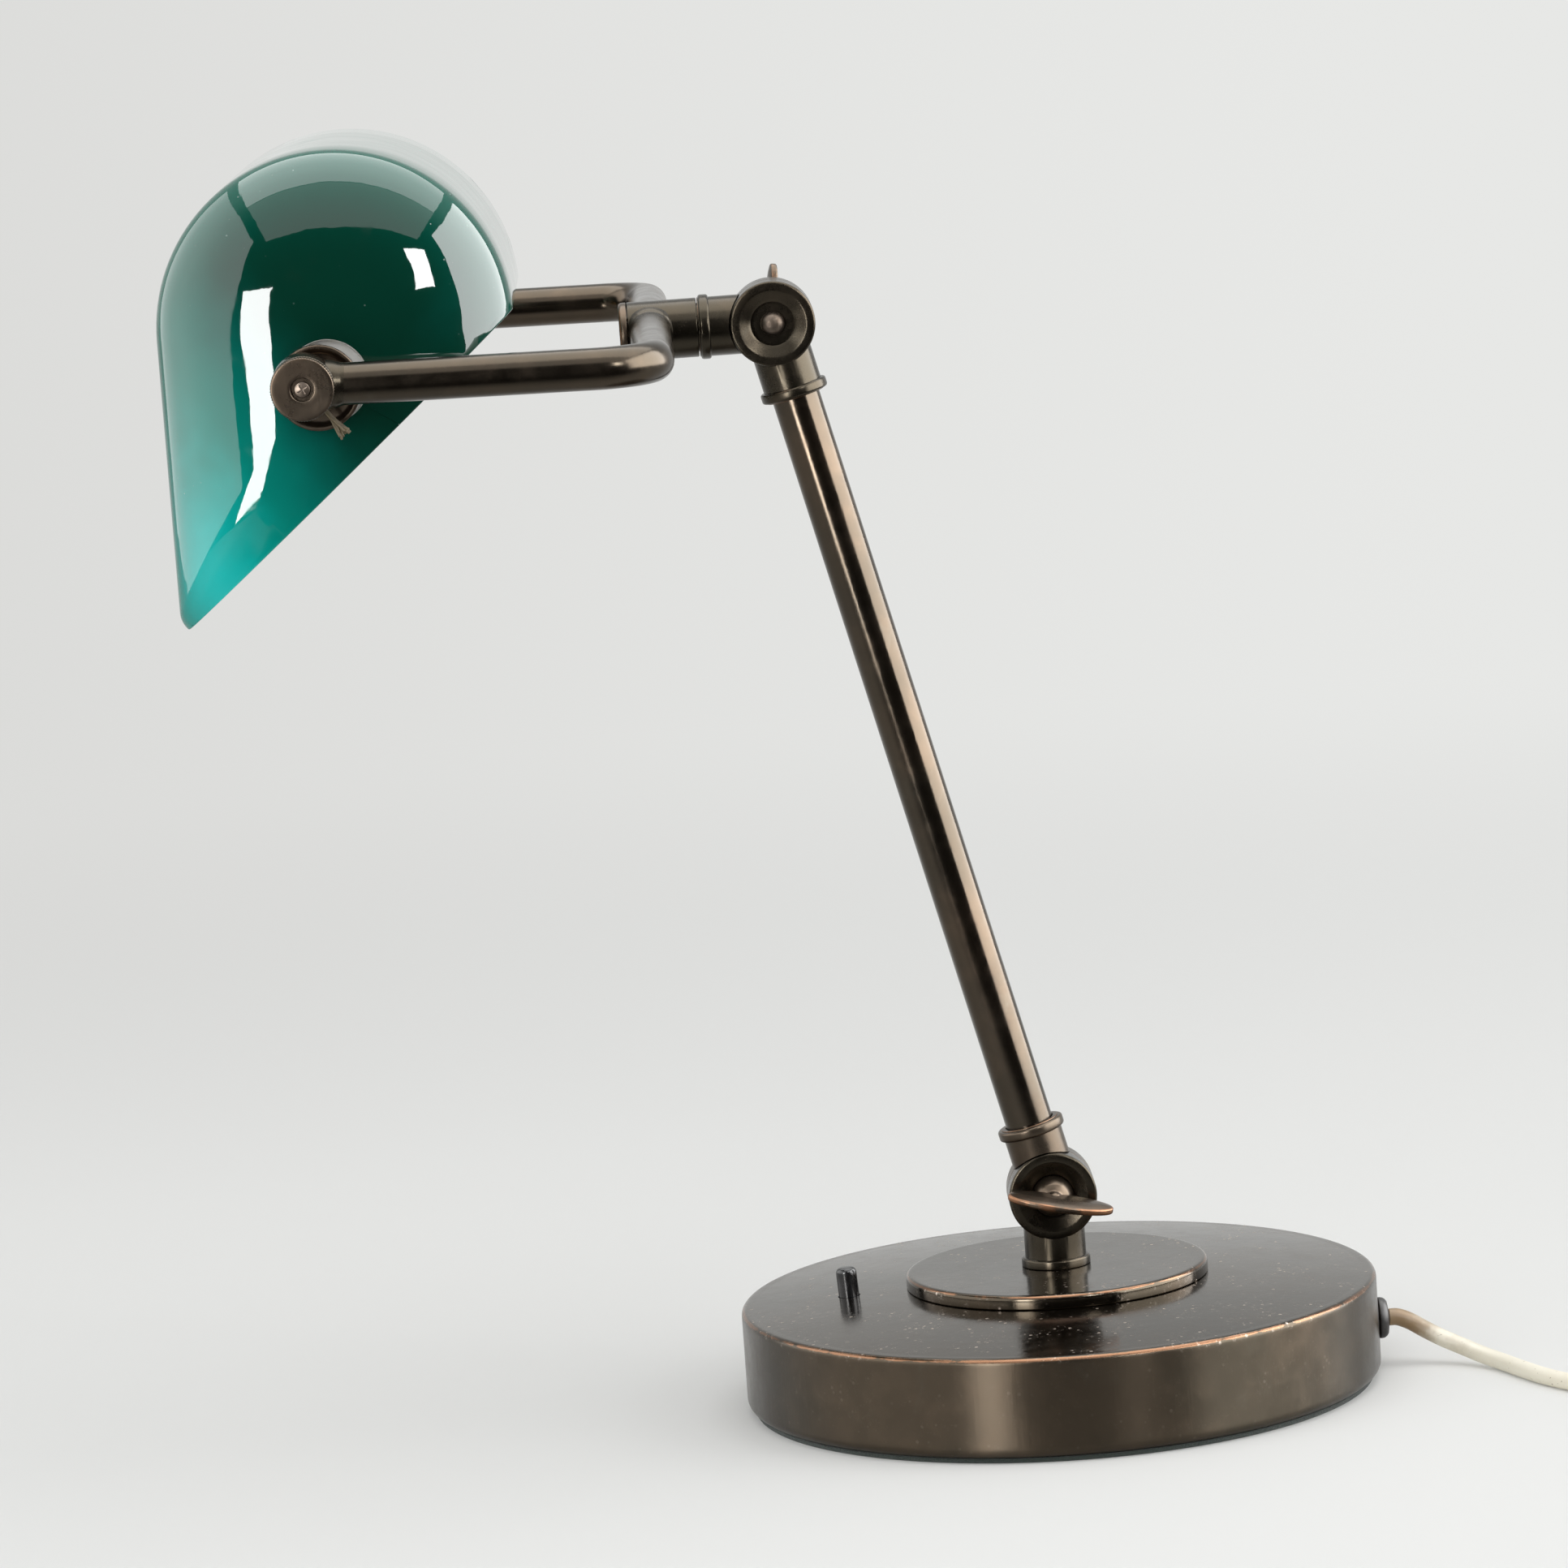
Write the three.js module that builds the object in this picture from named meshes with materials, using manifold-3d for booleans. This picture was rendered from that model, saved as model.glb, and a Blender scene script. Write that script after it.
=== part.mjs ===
// Banker desk lamp: a round weighted foot, a jointed stem, and a fork that holds a cased glass shade.
// Millimetres. +Z is up, +X is the side with the lower wing nut, and the shade hangs over -Y.
// The origin is the middle of the foot's flat underside.
import * as THREE from "three";
import { mergeVertices } from "three/addons/utils/BufferGeometryUtils.js";
import Module from "manifold-3d";

const wasm = await Module();
wasm.setup();

// Clearances and overruns that the pieces share
const seatGap = 0.3;
const runningGap = 0.3;
const throughCut = 2;
const mergeTolerance = 1e-4;

// Numbers of sides, which follow how large the round piece is
const footSides = 56;
const plateSides = 40;
const hiddenSides = 24;
const discSides = 20;
const forkSides = 16;
const tubeSides = 18;
const smallSides = 12;
const arcSides = 8;
const filletSteps = 3;
const crownSteps = 2;
const curveSteps = 5;

// Foot: spun cover, iron weight, felt, plinth
const footRadius = 100;
const footRimHeight = 32.7;
const footWall = 1.6;
const footTopFillet = 1.8;
const footBottomFillet = 3;
const footLip = 6;
const feltThickness = 1.5;
const feltInset = 2.5;
const footTopFilletTurn = 85;
const plinthSetback = 52.5;
const plinthThickness = 4.5;
const plinthFillet = 1.5;
const plinthSeatMargin = 1;
const crownRadius = 1100;
const weightThickness = 20;
const weightInset = 4;
const weightHubRadius = 22;
const weightNutRecess = 13;
const weightNutRecessRadius = 17;

// Threaded tube, washer and nut that clamp the foot together
const nippleRadius = 4.5;
const nippleBore = 3;
const nippleEngagement = 7;
const nippleTail = 3;
const nutAcross = 16;
const nutThickness = 4.5;
const washerRadius = 13;
const washerThickness = 1.6;

// Neck and the two friction knuckles
const lowerPivotHeight = 63.7;
const neckRadius = 9.15;
const collarRadius = 10;
const collarHeight = 3;
const collarFillet = 0.8;
const knuckleRadius = 13.2;
const knuckleHalfWidth = 9;
const knuckleSplit = 0.15;
const knuckleChamfer = 0.8;
const dishRadius = 10.5;
const dishDepth = 1.6;
const counterboreRadius = 6.7;
const counterboreDepth = 3.5;
const socketRadius = 9.2;
const socketBottom = 16;
const beadLength = 3.2;
const lowerBeadRadius = 10.5;
const lowerBeadPlace = 20.6;
const upperBeadPlace = 22.2;
const armBeadRadius = 10;
const armBeadPlace = 20.9;
const clampScrewRadius = 2.5;
const clampHeadRadius = 3.7;
const clampHeadHeight = 2.4;

// Wing nuts
const wingHubRadius = 6.4;
const wingHubLength = 4;
const wingNeckRadius = 3;
const wingShoulder = 3.4;
const wingBallRadius = 3.75;
const wingBallTurn = 80;
const wingSpan = 32;
const wingDepth = 13;
const wingPlace = 18.5;
const wingThickness = 2;
const wingBevel = 0.4;
const wingBoreDepth = 9;
const wingLoadedEnd = 8;
const lowerWingSlope = THREE.MathUtils.degToRad(-11.8);
const upperWingSlope = THREE.MathUtils.degToRad(90);

// Stem
const stemLean = THREE.MathUtils.degToRad(13.75);
const stemLength = 287.75;
const stemRadius = 7.5;
const stemWall = 1.2;
const stemWireRadius = 2;

// Hub and fork that carry the shade
const hubRadius = 9.15;
const hubCrossPlace = 37.7;
const hubEnd = 44.5;
const hubPlugLength = 2.5;
const hubPlugFillet = 1.2;
const hubWireBore = 3.5;
const forkRadius = 6.25;
const forkWall = 1.1;
const forkBendRadius = 16;
const forkInnerEnd = 5;
const shadePivotReach = 140.6;
const shadePivotRise = 1.1;
const bossRadius = 9.5;
const bossLength = 14;
const bossFillet = 1;
const forkSeatInBoss = 3;

// Knurled clamp discs at the shade's pivots
const knobRadius = 9.5;
const knobThickness = 4;
const knobTeeth = 32;
const knobToothDepth = 0.45;
const knobRecessRadius = 3.5;
const knobRecessDepth = 1.2;
const knobThreadDepth = 1.6;
const knobScrewRadius = 2;
const knobScrewShank = 1;
const knobScrewHead = 0.9;

// Shade glass, in the plane across the pivot axis, measured from that axis
const glassLength = 216;
const glassWall = 3;
const glassDomeRadius = 53.25;
const glassDomeBack = 9.2;
const glassDomeRise = 11.6;
const glassLipRadius = 13;
const glassLipForward = 30.9;
const glassLipDrop = 62.9;
const glassShoulder = 25;
const glassLeastFillet = 1.2;
const glassCutFrontForward = 36.7;
const glassCutFrontDrop = 70.5;
const glassCutBack = 62.3;
const glassCutBackRise = 13.6;
const glassHoleRadius = 12.2;
const glassHoleBack = 7.5;
const glassHoleDrop = 1.4;
const glassLean = THREE.MathUtils.degToRad(-1.2);
const glassLeanGap = 0.55;

// Fittings that hold the glass on its two pivots
const pivotTubeRadius = 4;
const pivotTubeBore = 2.8;
const pivotTubeInner = 17;
const cupRadius = 12.5;
const cupFloor = 1.4;
const cupDepth = 3;
const cupRim = 1.2;
const cupBack = 3.2;
const cupLength = 4.15;
const washerInnerRadius = 15;
const washerInnerThickness = 1.2;
const washerInnerGap = 0.65;
const pivotNutAcross = 13;
const pivotNutThickness = 3;

// Lampholder and tubular bulb
const holderRadius = 16.5;
const holderLength = 46;
const holderWall = 1.2;
const holderCapLength = 8;
const insertFloor = 4;
const insertSetback = 3;
const bulbCapRadius = 12;
const bulbCapLength = 24;
const bulbContactRadius = 4;
const bulbContactRise = 2;
const bulbRadius = 15.5;
const bulbLength = 112;
const bulbNeckLength = 10;
const bulbWall = 1;
const bulbSeatDepth = 9;

// Push switch in the foot
const switchSetback = 34.2;
const buttonRadius = 3.25;
const buttonRise = 9.2;
const buttonFillet = 1.4;
const buttonTravel = 2.5;
const buttonStem = 6;
const switchRadius = 8;
const switchDepth = 17;
const switchPocket = 26;

// Cord's way into the foot
const cordRadius = 2.7;
const exitHeight = 15.3;
const grommetHeadRadius = 6.5;
const grommetHeadLength = 3;
const grommetNeckRadius = 5;
const grommetBackRadius = 6;
const grommetBackLength = 2.5;
const leadInLength = 12;
const terminalWidth = 20;
const terminalDepth = 12;
const terminalHeight = 10;
const terminalPocket = 4;
const terminalScrewRadius = 2;
const terminalScrewPitch = 9;
const terminalScrewRise = 1.2;

// Cord's coil, tie and plug
const coilTurnGap = 0.55;
const coilInnerRadius = 21.6;
const coilTurnsPerLayer = 3.7;
const coilStepsPerTurn = 24;
const coilSides = 6;
const coilLayers = 2;
const coilX = 72;
const coilY = 218;
const coilStartAngle = THREE.MathUtils.degToRad(-50);
const runSides = 8;
const tieThickness = 0.8;
const tieWidth = 5;
const tieCorner = 2.5;
const plugRadius = 8.5;
const plugLength = 28;
const plugNoseRadius = 4.2;
const plugNoseLength = 12;
const plugFillet = 1.6;
const plugShoulderTurn = 60;
const bladeLength = 17;
const bladeWidth = 6.2;
const bladeThickness = 1.5;
const bladePitch = 12.7;
const runSteps = 18;
const tailLength = 34;
const tailSteps = 4;
const pocketRise = 5;

// Places worked out from the sizes above
const plinthRadius = footRadius - plinthSetback;
const footSeatHeight = footRimHeight + crownRise(footRadius - footTopFillet);
const plinthTop = footSeatHeight + plinthThickness;
const switchForward = footRadius - switchSetback;
const forkHalfSpan = glassLength / 2 + glassLeanGap + cupLength + seatGap + bossLength / 2;
const neckLength = lowerPivotHeight - plinthTop;
const otherHalfRadius = knuckleRadius + runningGap;
const recessFloor = knuckleHalfWidth - counterboreDepth;
const cordPitch = cordRadius * 2 + coilTurnGap;
const coilFloor = cordRadius + tieThickness + seatGap;
const halfTurn = Math.PI;
const fullTurn = Math.PI * 2;

// How far the crowned top of the foot rises from a radius to the flat seat under the plinth
function crownRise(radius) {
  const seatRadius = plinthRadius + plinthSeatMargin;
  return (radius * radius - seatRadius * seatRadius) / (2 * crownRadius);
}

// Height of the foot's crowned top at a radius
function crownHeight(radius) {
  return footSeatHeight - crownRise(radius);
}

// Solids: a closed geometry in, a manifold solid out, and back again

function solid(geometry) {
  const bare = new THREE.BufferGeometry();
  bare.setAttribute("position", geometry.attributes.position.clone());
  if (geometry.index) bare.setIndex(geometry.index.clone());
  const merged = mergeVertices(bare, mergeTolerance);
  const corners = Array.from(merged.index.array);
  const kept = [];
  for (let i = 0; i < corners.length; i += 3) {
    const [a, b, c] = corners.slice(i, i + 3);
    if (a !== b && b !== c && c !== a) kept.push(a, b, c);
  }
  const vertProperties = new Float32Array(merged.attributes.position.array);
  const triVerts = new Uint32Array(kept);
  return new wasm.Manifold(new wasm.Mesh({ numProp: 3, vertProperties, triVerts }));
}

function geometryOf(body) {
  const mesh = body.getMesh();
  const geometry = new THREE.BufferGeometry();
  geometry.setAttribute("position", new THREE.BufferAttribute(new Float32Array(mesh.vertProperties), 3));
  geometry.setIndex(new THREE.BufferAttribute(new Uint32Array(mesh.triVerts), 1));
  const flat = geometry.toNonIndexed();
  flat.computeVertexNormals();
  return flat;
}

function joined(first, ...others) {
  let body = solid(first);
  for (const other of others) body = body.add(solid(other));
  return geometryOf(body);
}

function cut(first, ...tools) {
  let body = solid(first);
  for (const tool of tools) body = body.subtract(solid(tool));
  return geometryOf(body);
}

// Shapes

const alongX = new THREE.Euler(0, Math.PI / 2, 0);
const alongY = new THREE.Euler(-Math.PI / 2, 0, 0);
const alongMinusY = new THREE.Euler(Math.PI / 2, 0, 0);
const downwards = new THREE.Euler(Math.PI, 0, 0);

function turned(geometry, euler) {
  return geometry.applyMatrix4(new THREE.Matrix4().makeRotationFromEuler(euler));
}

function moved(geometry, x, y, z) {
  return geometry.translate(x, y, z);
}

// A piece turned on a lathe about Z, from [radius, height] pairs that run upwards on its outside
function revolved(profile, sides) {
  const points = profile.map(([radius, height]) => new THREE.Vector2(radius, height));
  return new THREE.LatheGeometry(points, sides).rotateX(Math.PI / 2);
}

function rod(radius, from, to, sides) {
  return revolved([[0, from], [radius, from], [radius, to], [0, to]], sides);
}

function pipe(outer, inner, from, to, sides) {
  return revolved([[inner, from], [outer, from], [outer, to], [inner, to], [inner, from]], sides);
}

// Points of an arc in a lathe profile, from one angle to another
function arc(radius, height, size, from, to, steps = filletSteps) {
  const points = [];
  for (let i = 0; i <= steps; i += 1) {
    const angle = THREE.MathUtils.degToRad(from + ((to - from) * i) / steps);
    points.push([radius + size * Math.cos(angle), height + size * Math.sin(angle)]);
  }
  return points;
}

function block(width, depth, height, x, y, z) {
  return new THREE.BoxGeometry(width, depth, height).translate(x, y, z);
}

function hexagon(across, inner, from, to) {
  const sides = 6;
  const cornerRadius = across / Math.sqrt(3);
  const corners = [];
  for (let i = 0; i < sides; i += 1) {
    const angle = (fullTurn * i) / sides;
    corners.push(new THREE.Vector2(cornerRadius * Math.cos(angle), cornerRadius * Math.sin(angle)));
  }
  const shape = new THREE.Shape(corners);
  shape.holes.push(new THREE.Path().absarc(0, 0, inner, 0, fullTurn, true));
  const depth = to - from;
  const curveSegments = smallSides / 2;
  return new THREE.ExtrudeGeometry(shape, { depth, bevelEnabled: false, curveSegments }).translate(0, 0, from);
}

// A path through chosen stations, each with its own direction, so that a straight stretch takes one step
class StationPath extends THREE.Curve {
  constructor(stations) {
    super();
    this.stations = stations;
  }

  getPoint(share, target = new THREE.Vector3()) {
    const place = share * (this.stations.length - 1);
    const index = Math.min(Math.floor(place), this.stations.length - 2);
    const rest = place - index;
    return target.lerpVectors(this.stations[index].point, this.stations[index + 1].point, rest);
  }

  getPointAt(share, target) {
    return this.getPoint(share, target);
  }

  getTangentAt(share, target = new THREE.Vector3()) {
    const index = Math.round(share * (this.stations.length - 1));
    return target.copy(this.stations[index].direction);
  }
}

function sweep(shape, stations, curveSegments) {
  const steps = stations.length - 1;
  const extrudePath = new StationPath(stations);
  return new THREE.ExtrudeGeometry(shape, { steps, extrudePath, bevelEnabled: false, curveSegments });
}

function ringShape(outer, inner) {
  const shape = new THREE.Shape().absarc(0, 0, outer, 0, fullTurn, false);
  if (inner > 0) shape.holes.push(new THREE.Path().absarc(0, 0, inner, 0, fullTurn, true));
  return shape;
}

// Materials, one for each finish

function finish(color, metalness, roughness) {
  return new THREE.MeshStandardMaterial({ color, metalness, roughness });
}

const bronze = finish(0x3a2a22, 0.9, 0.38);
const bronzeWorn = finish(0x5a3d2b, 0.9, 0.34);
const brass = finish(0xa98a4f, 0.9, 0.4);
const iron = finish(0x2b2b2c, 0.6, 0.8);
const steel = finish(0x8d8f90, 0.9, 0.45);
const felt = finish(0x1f4a33, 0, 0.95);
const blackPlastic = finish(0x141414, 0, 0.4);
const rubber = finish(0x161514, 0, 0.7);
const emerald = finish(0x0b5a3c, 0, 0.08);
const fibre = finish(0xe9e4d6, 0, 0.8);
const porcelain = finish(0xeeeae0, 0, 0.35);
const bulbWhite = finish(0xf2f1ec, 0, 0.3);
const ivory = finish(0xd9cfae, 0, 0.5);
const bareCopper = finish(0xb87345, 0.9, 0.4);

// The scene graph: the foot, the stem that tilts on it, the fork on the stem, the shade on the fork

const lamp = new THREE.Group();
const stem = new THREE.Group();
const fork = new THREE.Group();
const shade = new THREE.Group();
const glass = new THREE.Group();
const pushSwitch = new THREE.Group();

lamp.add(stem);
lamp.add(pushSwitch);
stem.add(fork);
fork.add(shade);
shade.add(glass);
stem.position.set(0, 0, lowerPivotHeight);
stem.rotation.x = stemLean;
fork.position.set(0, 0, stemLength);
fork.rotation.x = -stemLean;
shade.position.set(0, -shadePivotReach, shadePivotRise);
glass.rotation.y = glassLean;
pushSwitch.position.set(0, -switchForward, crownHeight(switchForward));
pushSwitch.rotation.x = Math.asin(switchForward / crownRadius);

function place(group, name, geometry, material) {
  const mesh = new THREE.Mesh(geometry, material);
  mesh.name = name;
  group.add(mesh);
}

// Foot

const coverBottom = feltThickness + seatGap;
const coverSeatRadius = plinthRadius + plinthSeatMargin;
const nippleHole = nippleRadius + seatGap;
const weightBottom = coverBottom + footWall + seatGap;
const weightRadius = footRadius - footWall - weightInset;
const weightTop = weightBottom + weightThickness;
const nutSeat = weightBottom + weightNutRecess;
const pocketFloor = weightBottom + pocketRise;
const grommetInside = footRadius - footWall - seatGap - seatGap;
const leadInEnd = grommetInside - grommetBackLength - seatGap;
const terminalFace = leadInEnd - leadInLength - seatGap;

function crownProfile(from, to, drop) {
  const points = [];
  for (let i = 1; i <= crownSteps; i += 1) {
    const radius = from + ((to - from) * i) / crownSteps;
    points.push([radius, crownHeight(radius) - drop]);
  }
  return points;
}

function baseCover() {
  const inner = footRadius - footWall;
  const lipRadius = footRadius - footLip;
  const edge = footRadius - footTopFillet;
  const bend = footBottomFillet - footWall;
  const innerEdge = inner - footTopFillet;
  const roofEdge = crownHeight(innerEdge) - footWall;
  const profile = [
    [lipRadius, coverBottom],
    ...arc(footRadius - footBottomFillet, coverBottom + footBottomFillet, footBottomFillet, -90, 0, 2),
    ...arc(edge, footRimHeight - footTopFillet, footTopFillet, 0, footTopFilletTurn),
    ...crownProfile(edge, coverSeatRadius, 0),
    [nippleHole, footSeatHeight],
    [nippleHole, footSeatHeight - footWall],
    [coverSeatRadius, footSeatHeight - footWall],
    [innerEdge, roofEdge],
    [inner, roofEdge - footTopFillet],
    [inner, coverBottom + footBottomFillet],
    [inner - bend, coverBottom + footWall],
    [lipRadius, coverBottom + footWall],
    [lipRadius, coverBottom],
  ];
  const buttonHole = rod(buttonRadius + runningGap, -buttonStem, buttonRise, smallSides);
  buttonHole.rotateX(pushSwitch.rotation.x);
  moved(buttonHole, 0, pushSwitch.position.y, pushSwitch.position.z);
  const cordHoleRadius = grommetNeckRadius + seatGap;
  const cordHole = turned(rod(cordHoleRadius, inner - footWall, footRadius + throughCut, tubeSides), alongY);
  moved(cordHole, 0, 0, exitHeight);
  return cut(revolved(profile, footSides), buttonHole, cordHole);
}

function baseWeight() {
  const roof = footSeatHeight - footWall - seatGap;
  const profile = [
    [weightNutRecessRadius, weightBottom],
    [weightRadius, weightBottom],
    [weightRadius, weightTop - footTopFillet],
    [weightRadius - footTopFillet, weightTop],
    [weightHubRadius, weightTop],
    [weightHubRadius, roof],
    [nippleHole, roof],
    [nippleHole, nutSeat],
    [weightNutRecessRadius, nutSeat],
    [weightNutRecessRadius, weightBottom],
  ];
  const height = weightThickness + throughCut + throughCut;
  const middle = weightBottom + weightThickness / 2;
  const forSwitch = block(switchPocket, switchPocket, height, 0, -switchForward, middle);
  const pocketWidth = terminalWidth + terminalPocket * 2;
  const pocketBack = terminalFace - terminalDepth - terminalPocket;
  const pocketDepth = footRadius - pocketBack;
  const pocketMiddle = pocketBack + pocketDepth / 2;
  const forTerminal = block(pocketWidth, pocketDepth, height, 0, pocketMiddle, pocketFloor + height / 2);
  return cut(revolved(profile, hiddenSides), forSwitch, forTerminal);
}

function plinthDisc() {
  const filletPlace = plinthTop - plinthFillet;
  const profile = [
    [nippleHole, footSeatHeight],
    [plinthRadius, footSeatHeight],
    ...arc(plinthRadius - plinthFillet, filletPlace, plinthFillet, 0, 90),
    [nippleHole, plinthTop],
    [nippleHole, footSeatHeight],
  ];
  return revolved(profile, plateSides);
}

function grommet() {
  const headFace = footRadius + seatGap;
  const headFillet = grommetHeadLength / 2;
  const profile = [
    [0, grommetInside - grommetBackLength],
    [grommetBackRadius, grommetInside - grommetBackLength],
    [grommetBackRadius, grommetInside],
    [grommetNeckRadius, grommetInside],
    [grommetNeckRadius, headFace],
    [grommetHeadRadius, headFace],
    ...arc(grommetHeadRadius - headFillet, headFace + headFillet, headFillet, 0, 90),
    [0, headFace + grommetHeadLength],
  ];
  return moved(turned(revolved(profile, smallSides), alongY), 0, 0, exitHeight);
}

const washerTop = nutSeat - seatGap;
const nutTop = washerTop - washerThickness - seatGap;
const nutBottom = nutTop - nutThickness;
const nippleBottom = nutBottom - nippleTail;
const nippleTop = plinthTop + nippleEngagement;
const washerBottom = washerTop - washerThickness;
const terminalTop = pocketFloor + seatGap + terminalHeight;
const leadIn = turned(rod(cordRadius, terminalFace + seatGap, leadInEnd, runSides), alongY);

place(lamp, "base_cover", baseCover(), bronze);
place(lamp, "base_weight", baseWeight(), iron);
place(lamp, "base_felt", rod(footRadius - feltInset, 0, feltThickness, hiddenSides), felt);
place(lamp, "plinth_disc", plinthDisc(), bronzeWorn);
place(lamp, "base_nipple", pipe(nippleRadius, nippleBore, nippleBottom, nippleTop, tubeSides), brass);
place(lamp, "base_washer", pipe(washerRadius, nippleHole, washerBottom, washerTop, tubeSides), steel);
place(lamp, "base_nut", hexagon(nutAcross, nippleHole, nutBottom, nutTop), brass);
place(lamp, "cord_grommet", grommet(), rubber);
place(lamp, "cord_lead_in", moved(leadIn, 0, 0, exitHeight), ivory);
place(lamp, "terminal_block", block(
  terminalWidth, terminalDepth, terminalHeight,
  0, terminalFace - terminalDepth / 2, pocketFloor + seatGap + terminalHeight / 2,
), blackPlastic);
for (const [name, side] of [["terminal_screw_left", -1], ["terminal_screw_right", 1]]) {
  const headSeat = terminalTop + seatGap;
  const head = rod(terminalScrewRadius, headSeat, headSeat + terminalScrewRise, smallSides);
  const across = (side * terminalScrewPitch) / 2;
  place(lamp, name, moved(head, across, terminalFace - terminalDepth / 2, 0), brass);
}

// Push switch: its body hangs under the cover and the button comes up through the hole

function switchBody() {
  const top = -footWall - seatGap;
  const bore = buttonRadius + runningGap;
  const boreFloor = -buttonStem - buttonTravel - seatGap - seatGap;
  const profile = [
    [0, top - switchDepth],
    [switchRadius, top - switchDepth],
    [switchRadius, top],
    [bore, top],
    [bore, boreFloor],
    [0, boreFloor],
  ];
  return revolved(profile, tubeSides);
}

function switchButton() {
  const edge = buttonRadius - buttonFillet;
  const profile = [
    [0, -buttonStem],
    [buttonRadius, -buttonStem],
    ...arc(edge, buttonRise - buttonFillet, buttonFillet, 0, 90),
    [0, buttonRise],
  ];
  return revolved(profile, smallSides);
}

place(pushSwitch, "switch_body", switchBody(), blackPlastic);
place(pushSwitch, "switch_button", switchButton(), blackPlastic);

// Friction knuckles: two equal halves on one clamp screw, one of them with a neck or socket

function aboutX(geometry, side) {
  return turned(geometry, new THREE.Euler(0, (side * Math.PI) / 2, 0));
}

const screwHole = clampScrewRadius + runningGap;
const recessProfile = [
  [counterboreRadius, recessFloor],
  [counterboreRadius, knuckleHalfWidth - dishDepth],
  [dishRadius, knuckleHalfWidth],
];

function knuckleHalf(side, socket, ...bores) {
  const disc = revolved([
    [screwHole, knuckleSplit],
    [knuckleRadius, knuckleSplit],
    [knuckleRadius, knuckleHalfWidth - knuckleChamfer],
    [knuckleRadius - knuckleChamfer, knuckleHalfWidth],
    ...recessProfile.slice().reverse(),
    [screwHole, recessFloor],
    [screwHole, knuckleSplit],
  ], discSides);
  const beyond = knuckleHalfWidth + throughCut;
  const recess = revolved([
    [0, recessFloor],
    ...recessProfile,
    [knuckleRadius - knuckleChamfer, knuckleHalfWidth],
    [knuckleRadius - knuckleChamfer, beyond],
    [0, beyond],
  ], discSides);
  const otherHalf = rod(otherHalfRadius, -beyond, knuckleSplit, discSides);
  const hole = rod(screwHole, -beyond, beyond, smallSides);
  const whole = joined(aboutX(disc, side), socket);
  return cut(whole, aboutX(recess, side), aboutX(otherHalf, side), aboutX(hole, side), ...bores);
}

function bead(radius, rise, middle) {
  const points = [];
  const steps = filletSteps;
  for (let i = 0; i <= steps; i += 1) {
    const share = i / steps;
    points.push([radius + rise * Math.sin(halfTurn * share), middle + beadLength * (share - 1 / 2)]);
  }
  return points;
}

function socketBody(beadRadius, beadPlace) {
  const end = beadPlace + beadLength / 2 + seatGap;
  return revolved([
    [0, clampScrewRadius],
    [socketRadius, clampScrewRadius],
    ...bead(socketRadius, beadRadius - socketRadius, beadPlace),
    [socketRadius, end],
    [0, end],
  ], tubeSides);
}

function socketBore() {
  return rod(stemRadius + seatGap, socketBottom, stemLength / 2, tubeSides);
}

function baseNeck() {
  const bottom = -neckLength;
  const collarTop = bottom + collarHeight;
  const neck = revolved([
    [0, bottom],
    [collarRadius, bottom],
    ...arc(collarRadius - collarFillet, collarTop - collarFillet, collarFillet, 0, 90),
    [neckRadius, collarTop],
    [neckRadius, 0],
    [0, 0],
  ], tubeSides);
  const bore = rod(nippleHole, bottom - throughCut, bottom + nippleEngagement + seatGap, tubeSides);
  return moved(knuckleHalf(1, neck, bore), 0, 0, lowerPivotHeight);
}

function wingNut(slope) {
  const foot = recessFloor + seatGap;
  const domeBase = foot + wingHubLength;
  const ballPlace = wingPlace + wingDepth / 2 - wingBallRadius;
  const ballFrom = -THREE.MathUtils.radToDeg(Math.acos(wingNeckRadius / wingBallRadius));
  const hub = revolved([
    [0, foot],
    [wingHubRadius, foot],
    ...arc(wingHubRadius - wingShoulder, domeBase, wingShoulder, 0, 90),
    [wingNeckRadius, domeBase + wingShoulder],
    ...arc(0, ballPlace, wingBallRadius, ballFrom, wingBallTurn),
    [0, ballPlace + wingBallRadius],
  ], tubeSides);
  const outline = new THREE.Shape();
  const bevel = wingBevel;
  outline.absellipse(0, 0, wingDepth / 2 - bevel, wingSpan / 2 - bevel, 0, fullTurn, false, 0);
  const plate = new THREE.ExtrudeGeometry(outline, {
    depth: wingThickness - bevel * 2,
    bevelThickness: bevel,
    bevelSize: bevel,
    bevelSegments: 1,
    curveSegments: arcSides,
  });
  moved(plate, wingPlace, 0, bevel - wingThickness / 2);
  const wing = solid(aboutX(hub, 1)).add(solid(plate));
  const bore = rod(clampScrewRadius + seatGap, foot - throughCut, foot + wingBoreDepth, smallSides);
  return geometryOf(wing.subtract(solid(aboutX(bore, 1)))).rotateX(slope);
}

function clampScrew() {
  const head = recessFloor + seatGap;
  const tip = recessFloor + seatGap + wingLoadedEnd;
  return revolved([
    [0, -tip],
    [clampScrewRadius, -tip],
    [clampScrewRadius, head],
    [clampHeadRadius, head],
    ...arc(clampHeadRadius - clampHeadHeight, head, clampHeadHeight, 0, 90),
    [0, head + clampHeadHeight],
  ], smallSides);
}

// Stem and its two knuckle halves

const headSocket = turned(socketBody(lowerBeadRadius, upperBeadPlace), downwards);
const headBore = turned(socketBore(), downwards);
const footSocketHalf = knuckleHalf(-1, socketBody(lowerBeadRadius, lowerBeadPlace), socketBore());
const headSocketHalf = knuckleHalf(1, headSocket, headBore);
const tubeFrom = socketBottom + seatGap;
const tubeTo = stemLength - socketBottom - seatGap;
const stemBore = stemRadius - stemWall;
const wireBack = stemBore - stemWireRadius - seatGap;

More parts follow.
